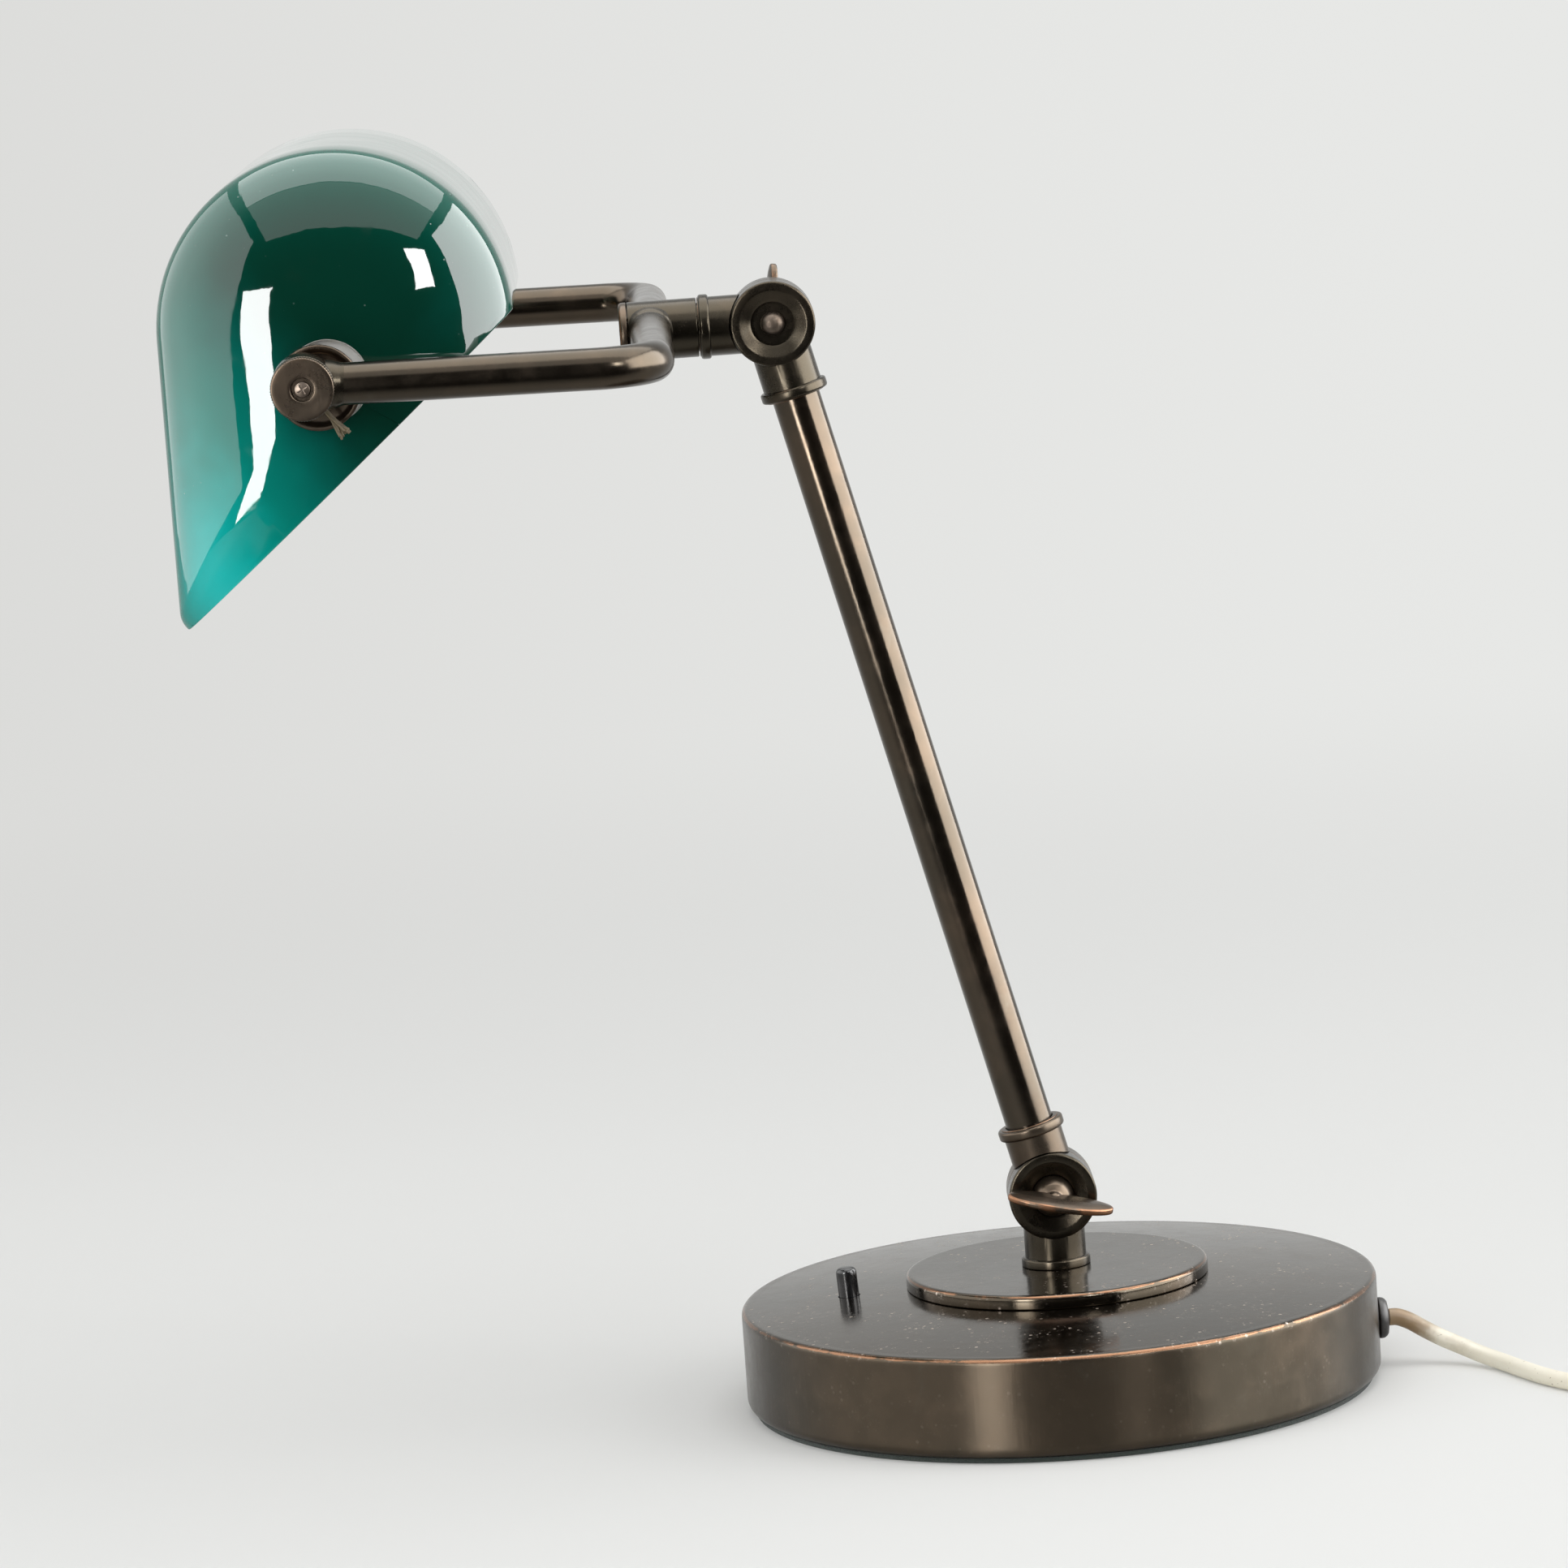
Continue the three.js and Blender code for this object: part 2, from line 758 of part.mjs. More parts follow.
place(lamp, "base_neck", baseNeck(), bronze);
place(lamp, "lower_wing_nut", moved(wingNut(lowerWingSlope), 0, 0, lowerPivotHeight), bronzeWorn);
place(stem, "lower_clamp_screw", aboutX(clampScrew(), -1), steel);
place(stem, "stem_foot_socket", footSocketHalf, bronze);
place(stem, "stem_tube", pipe(stemRadius, stemBore, tubeFrom, tubeTo, tubeSides), bronze);
place(stem, "stem_wire", moved(rod(stemWireRadius, tubeFrom, tubeTo, runSides), 0, wireBack, 0), ivory);
place(stem, "stem_head_socket", moved(headSocketHalf, 0, 0, stemLength), bronze);
place(stem, "upper_clamp_screw", moved(aboutX(clampScrew(), 1), 0, 0, stemLength), steel);

// Fork: the knuckle half, the hub and two bent tubes

const hubStart = armBeadPlace + beadLength / 2 + seatGap + seatGap;
const bossInner = forkHalfSpan - bossLength / 2;
const bossOuter = forkHalfSpan + bossLength / 2;
const pivotBore = pivotTubeRadius + seatGap;
const forkEnd = shadePivotReach - bossRadius + forkSeatInBoss;

function hub() {
  const hubBody = revolved([
    [hubWireBore, tubeFrom],
    [stemRadius, tubeFrom],
    [stemRadius, hubStart],
    [hubRadius, hubStart],
    [hubRadius, hubEnd],
    [hubWireBore, hubEnd],
    [hubWireBore, tubeFrom],
  ], tubeSides);
  const reach = hubRadius + throughCut;
  const crossBore = moved(aboutX(rod(forkRadius + seatGap, -reach, reach, tubeSides), 1), 0, -hubCrossPlace, 0);
  return cut(turned(hubBody, alongMinusY), crossBore);
}

function hubPlug() {
  const face = hubEnd + seatGap;
  const spigot = hubWireBore - seatGap;
  return turned(revolved([
    [0, hubEnd - hubPlugLength],
    [spigot, hubEnd - hubPlugLength],
    [spigot, face],
    [hubRadius, face],
    ...arc(hubRadius - hubPlugFillet, face + hubPlugLength - hubPlugFillet, hubPlugFillet, 0, 90),
    [0, face + hubPlugLength],
  ], tubeSides), alongMinusY);
}

function forkArm(side) {
  const bendX = forkHalfSpan - forkBendRadius;
  const bendY = hubCrossPlace + forkBendRadius;
  const rise = new THREE.Vector3(0, bendY - forkEnd, shadePivotRise).normalize();
  const stations = [{
    point: new THREE.Vector3(side * forkInnerEnd, -hubCrossPlace, 0),
    direction: new THREE.Vector3(side, 0, 0),
  }];
  for (let i = 0; i <= curveSteps; i += 1) {
    const angle = ((Math.PI / 2) * i) / curveSteps;
    const x = bendX + forkBendRadius * Math.sin(angle);
    const y = -bendY + forkBendRadius * Math.cos(angle);
    stations.push({
      point: new THREE.Vector3(side * x, y, 0),
      direction: new THREE.Vector3(side * Math.cos(angle), -Math.sin(angle), 0),
    });
  }
  stations.push({ point: new THREE.Vector3(side * forkHalfSpan, -forkEnd, shadePivotRise), direction: rise });
  return sweep(ringShape(forkRadius, forkRadius - forkWall), stations, forkSides / 2);
}

function boss(side) {
  const body = revolved([
    [pivotBore, bossInner],
    [bossRadius, bossInner],
    ...arc(bossRadius - bossFillet, bossOuter - bossFillet, bossFillet, 0, 90),
    [pivotBore, bossOuter],
    [pivotBore, bossInner],
  ], tubeSides);
  const holeFloor = bossRadius - forkSeatInBoss - seatGap;
  const armHole = forkRadius + seatGap;
  const towardsHub = turned(rod(armHole, holeFloor, bossRadius + throughCut, tubeSides), alongY);
  moved(towardsHub, side * forkHalfSpan, 0, 0);
  return moved(cut(aboutX(body, side), towardsHub), 0, -shadePivotReach, shadePivotRise);
}

function clampDisc(side) {
  const teeth = [];
  for (let i = 0; i < knobTeeth * 2; i += 1) {
    const angle = (halfTurn * i) / knobTeeth;
    const radius = i % 2 ? knobRadius : knobRadius - knobToothDepth;
    teeth.push(new THREE.Vector2(radius * Math.cos(angle), radius * Math.sin(angle)));
  }
  const outline = new THREE.Shape(teeth);
  const inner = bossOuter + seatGap;
  const outer = inner + knobThickness;
  const disc = new THREE.ExtrudeGeometry(outline, { depth: knobThickness, bevelEnabled: false });
  moved(disc, 0, 0, inner);
  const thread = rod(pivotBore, inner - throughCut, inner + knobThreadDepth, smallSides);
  const recess = rod(knobRecessRadius, outer - knobRecessDepth, outer + throughCut, smallSides);
  const hole = rod(knobScrewShank + seatGap, inner, outer, smallSides);
  return aboutX(cut(disc, thread, recess, hole), side);
}

function clampDiscScrew(side) {
  const floor = bossOuter + seatGap + knobThickness - knobRecessDepth + seatGap;
  return aboutX(revolved([
    [0, bossOuter],
    [knobScrewShank, bossOuter],
    [knobScrewShank, floor],
    [knobScrewRadius, floor],
    [knobScrewRadius, floor + knobScrewHead / 2],
    [knobScrewRadius / 2, floor + knobScrewHead],
    [0, floor + knobScrewHead],
  ], smallSides), side);
}

const armSocket = turned(socketBody(armBeadRadius, armBeadPlace), alongMinusY);
place(fork, "arm_socket", knuckleHalf(-1, armSocket, turned(socketBore(), alongMinusY)), bronze);
place(fork, "upper_wing_nut", wingNut(upperWingSlope).rotateZ(halfTurn), bronzeWorn);
place(fork, "hub", hub(), bronze);
place(fork, "hub_plug", hubPlug(), bronze);

// Shade: what turns on the two pivots

const glassEnd = glassLength / 2;
const cupInner = glassEnd + glassLeanGap;
const cupOuter = bossInner - seatGap;
const washerOuterFace = glassEnd - glassWall - washerInnerGap;
const nutOuterFace = washerOuterFace - washerInnerThickness - seatGap;
const nutInnerFace = nutOuterFace - pivotNutThickness;
const pivotTubeTip = bossOuter + knobThreadDepth;

function cup(side) {
  const bowl = revolved([
    [0, cupInner],
    [cupRadius, cupInner],
    [cupRadius, cupInner + cupDepth],
    [cupRadius - cupRim, cupInner + cupDepth],
    [cupRadius - cupRim - cupFloor, cupInner + cupFloor],
    [0, cupInner + cupFloor],
  ], tubeSides);
  const middle = rod(cupRadius - cupRim - cupBack, cupInner, cupOuter, tubeSides);
  const bore = rod(pivotBore, cupInner - throughCut, cupOuter + throughCut, smallSides);
  const both = joined(moved(aboutX(bowl, side), 0, cupBack, 0), aboutX(middle, side));
  return cut(both, aboutX(bore, side));
}

function innerWasher(side) {
  const plate = rod(washerInnerRadius, washerOuterFace - washerInnerThickness, washerOuterFace, tubeSides);
  const bore = rod(pivotBore, nutInnerFace, glassEnd, smallSides);
  return cut(moved(aboutX(plate, side), 0, glassHoleBack, -glassHoleDrop), aboutX(bore, side));
}

for (const [suffix, side] of [["near", 1], ["far", -1]]) {
  const tubeTip = glassEnd - pivotTubeInner;
  const pivotTube = pipe(pivotTubeRadius, pivotTubeBore, tubeTip, pivotTubeTip, tubeSides);
  const pivotNut = hexagon(pivotNutAcross, pivotBore, nutInnerFace, nutOuterFace);
  place(fork, `fork_arm_${suffix}`, forkArm(side), bronze);
  place(fork, `fork_boss_${suffix}`, boss(side), bronze);
  place(shade, `clamp_disc_${suffix}`, clampDisc(side), bronzeWorn);
  place(shade, `clamp_disc_screw_${suffix}`, clampDiscScrew(side), steel);
  place(shade, `pivot_tube_${suffix}`, aboutX(pivotTube, side), brass);
  place(shade, `shade_cup_${suffix}`, cup(side), bronzeWorn);
  place(shade, `inner_washer_${suffix}`, innerWasher(side), fibre);
  place(shade, `pivot_nut_${suffix}`, aboutX(pivotNut, side), brass);
}

// Glass: a dome and a lip, joined by flat walls, drawn in to round shoulders at both ends

const domeCentre = new THREE.Vector2(glassDomeBack, glassDomeRise);
const lipCentre = new THREE.Vector2(-glassLipForward, -glassLipDrop);
const taper = lipCentre.clone().sub(domeCentre);
const taperAngle = Math.asin((glassDomeRadius - glassLipRadius) / taper.length());
const taperHeading = taper.angle();

// Outline across the glass, every point drawn in by the same inset
function glassOutline(inset) {
  const domeSteps = 28;
  const lipSteps = 7;
  const lipRadius = Math.max(glassLipRadius - inset, glassLeastFillet);
  const domeRadius = glassDomeRadius - inset;
  const reach = (domeRadius - lipRadius) / Math.sin(taperAngle);
  const lip = domeCentre.clone().add(taper.clone().setLength(reach));
  const side = Math.PI / 2 - taperAngle;
  const points = [];
  for (let i = 0; i <= domeSteps; i += 1) {
    const angle = taperHeading + side + ((fullTurn - side * 2) * i) / domeSteps;
    points.push([domeCentre.x + domeRadius * Math.cos(angle), domeCentre.y + domeRadius * Math.sin(angle)]);
  }
  for (let i = 0; i <= lipSteps; i += 1) {
    const angle = taperHeading - side + (side * 2 * i) / lipSteps;
    points.push([lip.x + lipRadius * Math.cos(angle), lip.y + lipRadius * Math.sin(angle)]);
  }
  return points;
}

// The closed body that the outline makes along X, with a round shoulder at each end
function glassBody(wall) {
  const end = glassEnd - wall;
  const shoulder = glassShoulder - wall;
  const nearRings = [];
  for (let i = 0; i <= curveSteps; i += 1) {
    const angle = ((Math.PI / 2) * i) / curveSteps;
    const x = end - shoulder + shoulder * Math.sin(angle);
    nearRings.push([x, wall + shoulder - shoulder * Math.cos(angle)]);
  }
  const farRings = nearRings.map(([x, inset]) => [-x, inset]).reverse();
  const rings = [...farRings, ...nearRings];
  const positions = [];
  const indices = [];
  for (const [x, inset] of rings) {
    for (const [y, z] of glassOutline(inset)) positions.push(x, y, z);
  }
  const count = positions.length / 3 / rings.length;
  for (let ring = 0; ring + 1 < rings.length; ring += 1) {
    for (let i = 0; i < count; i += 1) {
      const a = ring * count + i;
      const b = ring * count + ((i + 1) % count);
      indices.push(a, b, b + count, a, b + count, a + count);
    }
  }
  const last = (rings.length - 1) * count;
  for (let i = 1; i + 1 < count; i += 1) {
    indices.push(0, i + 1, i);
    indices.push(last, last + i, last + i + 1);
  }
  const geometry = new THREE.BufferGeometry();
  geometry.setAttribute("position", new THREE.Float32BufferAttribute(positions, 3));
  geometry.setIndex(indices);
  return geometry;
}

// The two holes aren't level in the glass, which is why it hangs with one end lower
function glassHole(side) {
  const hole = rod(glassHoleRadius, glassEnd - glassWall * 2, glassEnd + throughCut, tubeSides);
  const rise = -glassHoleDrop - side * glassEnd * Math.sin(-glassLean);
  return moved(aboutX(hole, side), 0, glassHoleBack, rise);
}

function shadeGlass() {
  const front = new THREE.Vector2(-glassCutFrontForward, -glassCutFrontDrop);
  const back = new THREE.Vector2(glassCutBack, glassCutBackRise);
  const heading = back.clone().sub(front);
  const size = glassLength * 2;
  const below = block(glassLength + glassWall, size, size, 0, 0, -size / 2);
  below.rotateX(heading.angle());
  moved(below, 0, front.x, front.y);
  return cut(glassBody(0), glassBody(glassWall), below, glassHole(-1), glassHole(1));
}

place(glass, "shade_glass", shadeGlass(), emerald);

// Lampholder on the far pivot tube, with a tubular bulb that lies along the shade

const holderStart = nutInnerFace - seatGap;

function alongShade(profile, sides) {
  const geometry = revolved(profile, sides);
  return moved(turned(geometry, new THREE.Euler(0, Math.PI / 2, 0)), -holderStart, 0, 0);
}

function holderShell() {
  const inner = holderRadius - holderWall;
  const capEdge = holderRadius - holderCapLength;
  return alongShade([
    [pivotBore, 0],
    ...arc(capEdge, holderCapLength, holderCapLength, -90, 0),
    [holderRadius, holderLength],
    [inner, holderLength],
    ...arc(capEdge, holderCapLength, holderCapLength - holderWall, 0, -90),
    [pivotBore, holderWall],
    [pivotBore, 0],
  ], tubeSides);
}

const pivotTubeEnd = holderStart - (glassEnd - pivotTubeInner);
const insertStart = pivotTubeEnd + holderCapLength;
const insertFace = insertStart + insertFloor;
const contactFace = insertFace + seatGap;
const bulbCapStart = contactFace + bulbContactRise;
const bulbCapEnd = bulbCapStart + bulbCapLength;

function holderInsert() {
  const outer = holderRadius - holderWall - seatGap;
  const inner = bulbCapRadius + seatGap;
  const end = holderLength - insertSetback;
  return alongShade([
    [0, insertStart],
    [outer, insertStart],
    [outer, end],
    [inner, end],
    [inner, insertFace],
    [0, insertFace],
  ], tubeSides);
}

function bulbCap() {
  const socket = bulbCapRadius - bulbWall;
  const floor = bulbCapEnd - bulbSeatDepth;
  return alongShade([
    [0, bulbCapStart + seatGap],
    [bulbContactRadius * 2, bulbCapStart + seatGap],
    [bulbCapRadius, bulbCapStart + bulbContactRadius],
    [bulbCapRadius, bulbCapEnd],
    [socket, bulbCapEnd],
    [socket, floor],
    [0, floor],
  ], tubeSides);
}

function bulbGlass() {
  const neck = bulbCapRadius - bulbWall - seatGap;
  const start = bulbCapEnd - bulbSeatDepth + seatGap;
  const tip = start + bulbLength - bulbRadius;
  const inner = bulbRadius - bulbWall;
  return alongShade([
    [neck - bulbWall, start],
    [neck, start],
    [neck, bulbCapEnd],
    [bulbRadius, bulbCapEnd + bulbNeckLength],
    ...arc(0, tip, bulbRadius, 0, 90, filletSteps + 1),
    ...arc(0, tip, inner, 90, 0, filletSteps),
    [inner, bulbCapEnd + bulbNeckLength],
    [neck - bulbWall, bulbCapEnd],
    [neck - bulbWall, start],
  ], tubeSides);
}

const contactProfile = [
  [0, contactFace],
  [bulbContactRadius, contactFace],
  [bulbContactRadius, bulbCapStart],
  [0, bulbCapStart],
];
place(shade, "holder_shell", holderShell(), brass);
place(shade, "holder_insert", holderInsert(), porcelain);
place(shade, "bulb_contact", alongShade(contactProfile, smallSides), brass);
place(shade, "bulb_cap", bulbCap(), brass);
place(shade, "bulb_glass", bulbGlass(), bulbWhite);

// Cord: out of the grommet, down to the floor, and away to a neat coil with its plug beside it

const coilTurns = coilTurnsPerLayer * coilLayers;
const coilMiddleAngle = coilStartAngle + (coilTurns / 2) * fullTurn;

// A point on the coil, with the turns counted from the reversal in the middle of its length
function coilPoint(turns) {
  const angle = coilMiddleAngle + turns * fullTurn;
  const radius = coilInnerRadius + Math.abs(turns) * cordPitch;
  const climb = THREE.MathUtils.smoothstep(turns, -1 / 4, 1 / 4);
  return new THREE.Vector3(
    coilX + radius * Math.cos(angle),
    coilY + radius * Math.sin(angle),
    coilFloor + climb * cordPitch,
  );
}

function coilEnd(sign) {
  const end = coilPoint((sign * coilTurns) / 2);
  const before = coilPoint((sign * coilTurns) / 2 - sign / coilStepsPerTurn);
  const direction = end.clone().sub(before).setZ(0).normalize();
  return { end: end.clone().addScaledVector(direction, cordRadius * 2), direction };
}

function coilPoints() {
  const steps = Math.round(coilTurns * coilStepsPerTurn);
  const points = [coilEnd(-1).end];
  for (let i = 0; i <= steps; i += 1) points.push(coilPoint((coilTurns * i) / steps - coilTurns / 2));
  points.push(coilEnd(1).end);
  return points;
}

function coilTube(points) {
  const positions = [];
  const indices = [];
  const up = new THREE.Vector3(0, 0, 1);
  points.forEach((point, index) => {
    const next = points[Math.min(index + 1, points.length - 1)];
    const last = points[Math.max(index - 1, 0)];
    const forward = next.clone().sub(last).normalize();
    const across = forward.clone().cross(up).normalize();
    const rise = across.clone().cross(forward);
    for (let side = 0; side < coilSides; side += 1) {
      const angle = (fullTurn * side) / coilSides;
      const place = point.clone();
      place.addScaledVector(across, cordRadius * Math.cos(angle));
      place.addScaledVector(rise, cordRadius * Math.sin(angle));
      positions.push(place.x, place.y, place.z);
    }
  });
  for (let ring = 0; ring + 1 < points.length; ring += 1) {
    for (let side = 0; side < coilSides; side += 1) {
      const a = ring * coilSides + side;
      const b = ring * coilSides + ((side + 1) % coilSides);
      indices.push(a, a + coilSides, b + coilSides, a, b + coilSides, b);
    }
  }
  const last = (points.length - 1) * coilSides;
  for (let side = 1; side + 1 < coilSides; side += 1) {
    indices.push(0, side, side + 1);
    indices.push(last, last + side + 1, last + side);
  }
  const geometry = new THREE.BufferGeometry();
  geometry.setAttribute("position", new THREE.Float32BufferAttribute(positions, 3));
  geometry.setIndex(indices);
  return geometry;
}

// Least gap between two places on the coil that lie more than half a turn apart along it
function leastCoilGap(points) {
  let least = Infinity;
  for (let i = 0; i < points.length; i += 1) {
    for (let j = i + coilStepsPerTurn / 2; j < points.length; j += 1) {
      least = Math.min(least, points[i].distanceTo(points[j]) - cordRadius * 2);
    }
  }
  return least;
}

// Chosen by hand along the cord from the grommet to the coil
const runPlaces = [
  [0, 103.7, 15.3],
  [0, 106.2, 15.2],
  [0.4, 110, 13.7],
  [1.6, 114.2, 11.2],
  [3.6, 119, 8.6],
  [7, 125.5, 5.8],
  [13, 131.5, 3.8],
  [21, 136.8, 2.9],
  [32, 141.5, 2.75],
  [44, 147, 2.75],
  [56, 154.5, 2.75],
  [70, 163.5, 2.9],
];

function freeTube(points, steps) {
  const path = new THREE.CatmullRomCurve3(points, false, "centripetal");
  const shape = ringShape(cordRadius, 0);
  const curveSegments = runSides / 2;
  return new THREE.ExtrudeGeometry(shape, { steps, extrudePath: path, bevelEnabled: false, curveSegments });
}

function cordRun() {
  const { end, direction } = coilEnd(-1);
  const points = runPlaces.map(([x, y, z]) => new THREE.Vector3(x, y, z));
  points.push(end.clone().addScaledVector(direction, seatGap + cordRadius * 4));
  points.push(end.clone().addScaledVector(direction, seatGap));
  return freeTube(points, runSteps);
}

// From the coil's last turn down to the plug, which lies on the floor
function tailPoints() {
  const { end, direction } = coilEnd(1);
  const start = end.clone().addScaledVector(direction, seatGap);
  const points = [];
  for (let i = 0; i <= tailSteps; i += 1) {
    const point = start.clone().addScaledVector(direction, (tailLength * i) / tailSteps);
    point.z = THREE.MathUtils.lerp(start.z, plugRadius, THREE.MathUtils.smoothstep(i, 0, tailSteps));
    points.push(point);
  }
  return points;
}

function coilTie() {
  const tieGap = seatGap * 2;
  const columns = Math.floor(coilTurnsPerLayer - 1 / 2);
  const from = coilInnerRadius + cordPitch / 2 - cordRadius - tieGap;
  const to = coilInnerRadius + (columns + 1 / 2) * cordPitch + cordRadius + tieGap;
  const low = tieThickness;
  const high = coilFloor + cordPitch + cordRadius + seatGap;
  const outerFrom = from - tieThickness;
  const outerTo = to + tieThickness;
  const outerCorner = tieCorner + tieThickness;
  const shape = roundedOutline(new THREE.Shape(), outerFrom, outerTo, 0, high + tieThickness, outerCorner);
  shape.holes.push(roundedOutline(new THREE.Path(), from, to, low, high, tieCorner));
  const curveSegments = filletSteps;
  const band = new THREE.ExtrudeGeometry(shape, { depth: tieWidth, bevelEnabled: false, curveSegments });
  moved(band, 0, 0, -tieWidth / 2);
  band.rotateX(Math.PI / 2);
  band.rotateZ(coilMiddleAngle + halfTurn);
  return moved(band, coilX, coilY, 0);
}

function roundedOutline(outline, left, right, bottom, top, corner) {
  outline.moveTo(left + corner, bottom);
  outline.lineTo(right - corner, bottom);
  outline.absarc(right - corner, bottom + corner, corner, -Math.PI / 2, 0, false);
  outline.absarc(right - corner, top - corner, corner, 0, Math.PI / 2, false);
  outline.absarc(left + corner, top - corner, corner, Math.PI / 2, Math.PI, false);
  outline.absarc(left + corner, bottom + corner, corner, Math.PI, Math.PI * 1.5, false);
  return outline;
}

function plugBody() {
  const body = revolved([
    [0, 0],
    [plugNoseRadius, 0],
    [plugRadius - plugFillet, plugNoseLength],
    ...arc(plugRadius - plugFillet, plugNoseLength + plugFillet, plugFillet, -plugShoulderTurn, 0),
    ...arc(plugRadius - plugFillet, plugNoseLength + plugLength - plugFillet, plugFillet, 0, 90),
    [0, plugNoseLength + plugLength],
  ], smallSides);
  return turned(body, alongX);
}

const coil = coilPoints();
const tail = tailPoints();
const plug = new THREE.Group();
const tailHeading = coilEnd(1).direction;
const tailTip = tail[tail.length - 1];
plug.rotation.z = Math.atan2(tailHeading.y, tailHeading.x);
plug.position.copy(tailTip).addScaledVector(tailHeading, seatGap);
lamp.add(plug);
console.log(`Least gap of the coil to itself: ${leastCoilGap(coil).toFixed(3)} mm`);

place(lamp, "cord_run", cordRun(), ivory);
place(lamp, "cord_coil", coilTube(coil), ivory);
place(lamp, "cord_tail", freeTube(tail, tailSteps), ivory);
place(lamp, "coil_tie", coilTie(), fibre);
place(plug, "plug_body", plugBody(), ivory);
for (const [name, side] of [["plug_blade_left", -1], ["plug_blade_right", 1]]) {
  const start = plugNoseLength + plugLength + seatGap;
  const middle = start + bladeLength / 2;
  const across = (side * bladePitch) / 2;
  place(plug, name, block(bladeLength, bladeThickness, bladeWidth, middle, across, 0), brass);
}

export default lamp;
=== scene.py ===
"""Looks of a banker desk lamp: finer pieces, cord, finishes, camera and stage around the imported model.

Lengths in this file are millimetres in the sizes of the pieces and metres everywhere else.
"""

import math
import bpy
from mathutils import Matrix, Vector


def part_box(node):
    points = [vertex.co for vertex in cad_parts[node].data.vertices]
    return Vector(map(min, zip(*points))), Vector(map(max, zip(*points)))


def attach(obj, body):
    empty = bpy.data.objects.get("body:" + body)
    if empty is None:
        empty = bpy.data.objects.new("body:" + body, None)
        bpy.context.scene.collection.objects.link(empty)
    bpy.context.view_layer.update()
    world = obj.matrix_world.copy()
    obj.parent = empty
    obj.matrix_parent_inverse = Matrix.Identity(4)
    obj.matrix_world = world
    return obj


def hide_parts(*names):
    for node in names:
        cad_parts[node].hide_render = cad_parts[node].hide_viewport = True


bl_info = {
    "name": "Banker Desk Lamp",
    "version": (1, 0, 0),
    "blender": (4, 5, 0),
    "location": "View3D > Sidebar > Desk Lamp",
    "description": "Builds the finer pieces, finishes, cord and stage of a jointed banker desk lamp",
    "category": "Object",
}

import bmesh
import bpy
from bpy.props import FloatProperty, FloatVectorProperty, IntProperty, PointerProperty
from mathutils import Euler, Matrix, Vector

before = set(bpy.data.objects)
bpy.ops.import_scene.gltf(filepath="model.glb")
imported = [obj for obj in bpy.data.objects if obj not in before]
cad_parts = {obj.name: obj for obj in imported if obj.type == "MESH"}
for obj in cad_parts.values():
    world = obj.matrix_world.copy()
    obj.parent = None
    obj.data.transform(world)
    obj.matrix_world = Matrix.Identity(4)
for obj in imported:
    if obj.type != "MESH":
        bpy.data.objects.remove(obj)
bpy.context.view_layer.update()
finishes = {}

MM = 0.001
GAP = 0.3

# Foot
FOOT_RADIUS = 100.0
FOOT_WALL = 1.6
FOOT_BOTTOM = 1.8
CROWN_SEAT = 36.014
RIM_HEIGHT = 32.7
RIM_ROUNDING = 1.8
CROWN_RADIUS = 1100.0
PLINTH_RADIUS = 47.5
PLINTH_SEAT = 48.5
PLINTH_THICKNESS = 4.5
PLINTH_BOTTOM = 36.03
FELT_RADIUS = 97.5
FELT_THICKNESS = 1.5
NIPPLE_HOLE = 4.8
EXIT_HEIGHT = 15.3
BUSH_BORE = 2.75

# Push switch
SWITCH_FORWARD = 65.8
BUTTON_RADIUS = 3.25
BUTTON_RISE = 9.2
BUTTON_STEM = 6.0

# Knuckles, sockets and stem
LOWER_PIVOT = 63.7
STEM_LEAN = math.radians(13.75)
STEM_LENGTH = 287.75
STEM_RADIUS = 7.5
STEM_BORE = 6.3
STEM_FROM = 16.3
KNUCKLE_RADIUS = 13.2
LOWER_KNUCKLE_RADIUS = 13.8
KNUCKLE_HALF = 9.0
SCREW_HOLE = 2.8
DISH_RADIUS = 10.5
DISH_DEPTH = 1.6
WELL_RADIUS = 6.7
WELL_FLOOR = 5.5
WING_TWIST = math.radians(9)
SOCKET_RADIUS = 9.2
SOCKET_BORE = 7.8
NECK_RADIUS = 9.6
COLLAR_RADIUS = 10.8

# Fork
HUB_RADIUS = 9.15
HUB_CROSS = 37.7
HUB_END = 44.5
FORK_RADIUS = 6.25
FORK_HALF_SPAN = 120.0
FORK_BEND = 16.0
SHADE_REACH = 140.6
SHADE_RISE = 1.1
BOSS_RADIUS = 9.5
BOSS_INNER = 113.0
BOSS_OUTER = 127.0
ARM_ROOT = 5.0

# Shade
GLASS_END = 108.0
GLASS_EQUATOR = 83.0
GLASS_WALL = 3.0
DOME_RADIUS = 53.25
DOME_BACK = 9.2
DOME_RISE = 11.6
LIP_RADIUS = 7.5
LIP_SOFTENING = 30.0
LIP_CORNER = (-43.7, -77.3)
GLASS_HOLE = 12.2
GLASS_HOLE_BACK = 6.6
GLASS_HOLE_DROP = 0.1
GLASS_LEAN = math.radians(-1.2)
CUT_FRONT = (-41.3, -75.2)
CUT_BACK = (62.3, 13.6)
CUT_RUNOUT = 60.0
CUP_RADIUS = 12.7
CUP_INNER = 108.55
CUP_OUTER = 112.7
CUP_BACK = 3.9
CUP_DROP = 1.6
PIVOT_BORE = 4.3
SPINDLE_RADIUS = 4.0
SPINDLE_BORE = 2.8
SPINDLE_SPAN = (91.0, 128.6)
WASHER_RADIUS = 18.6
WASHER_SPAN = (102.95, 103.75)
NUT_RADIUS = 13.0
NUT_SPAN = (99.85, 102.85)
DISC_RADIUS = 9.5
DISC_THICKNESS = 4.0
DISC_RECESS = 1.2
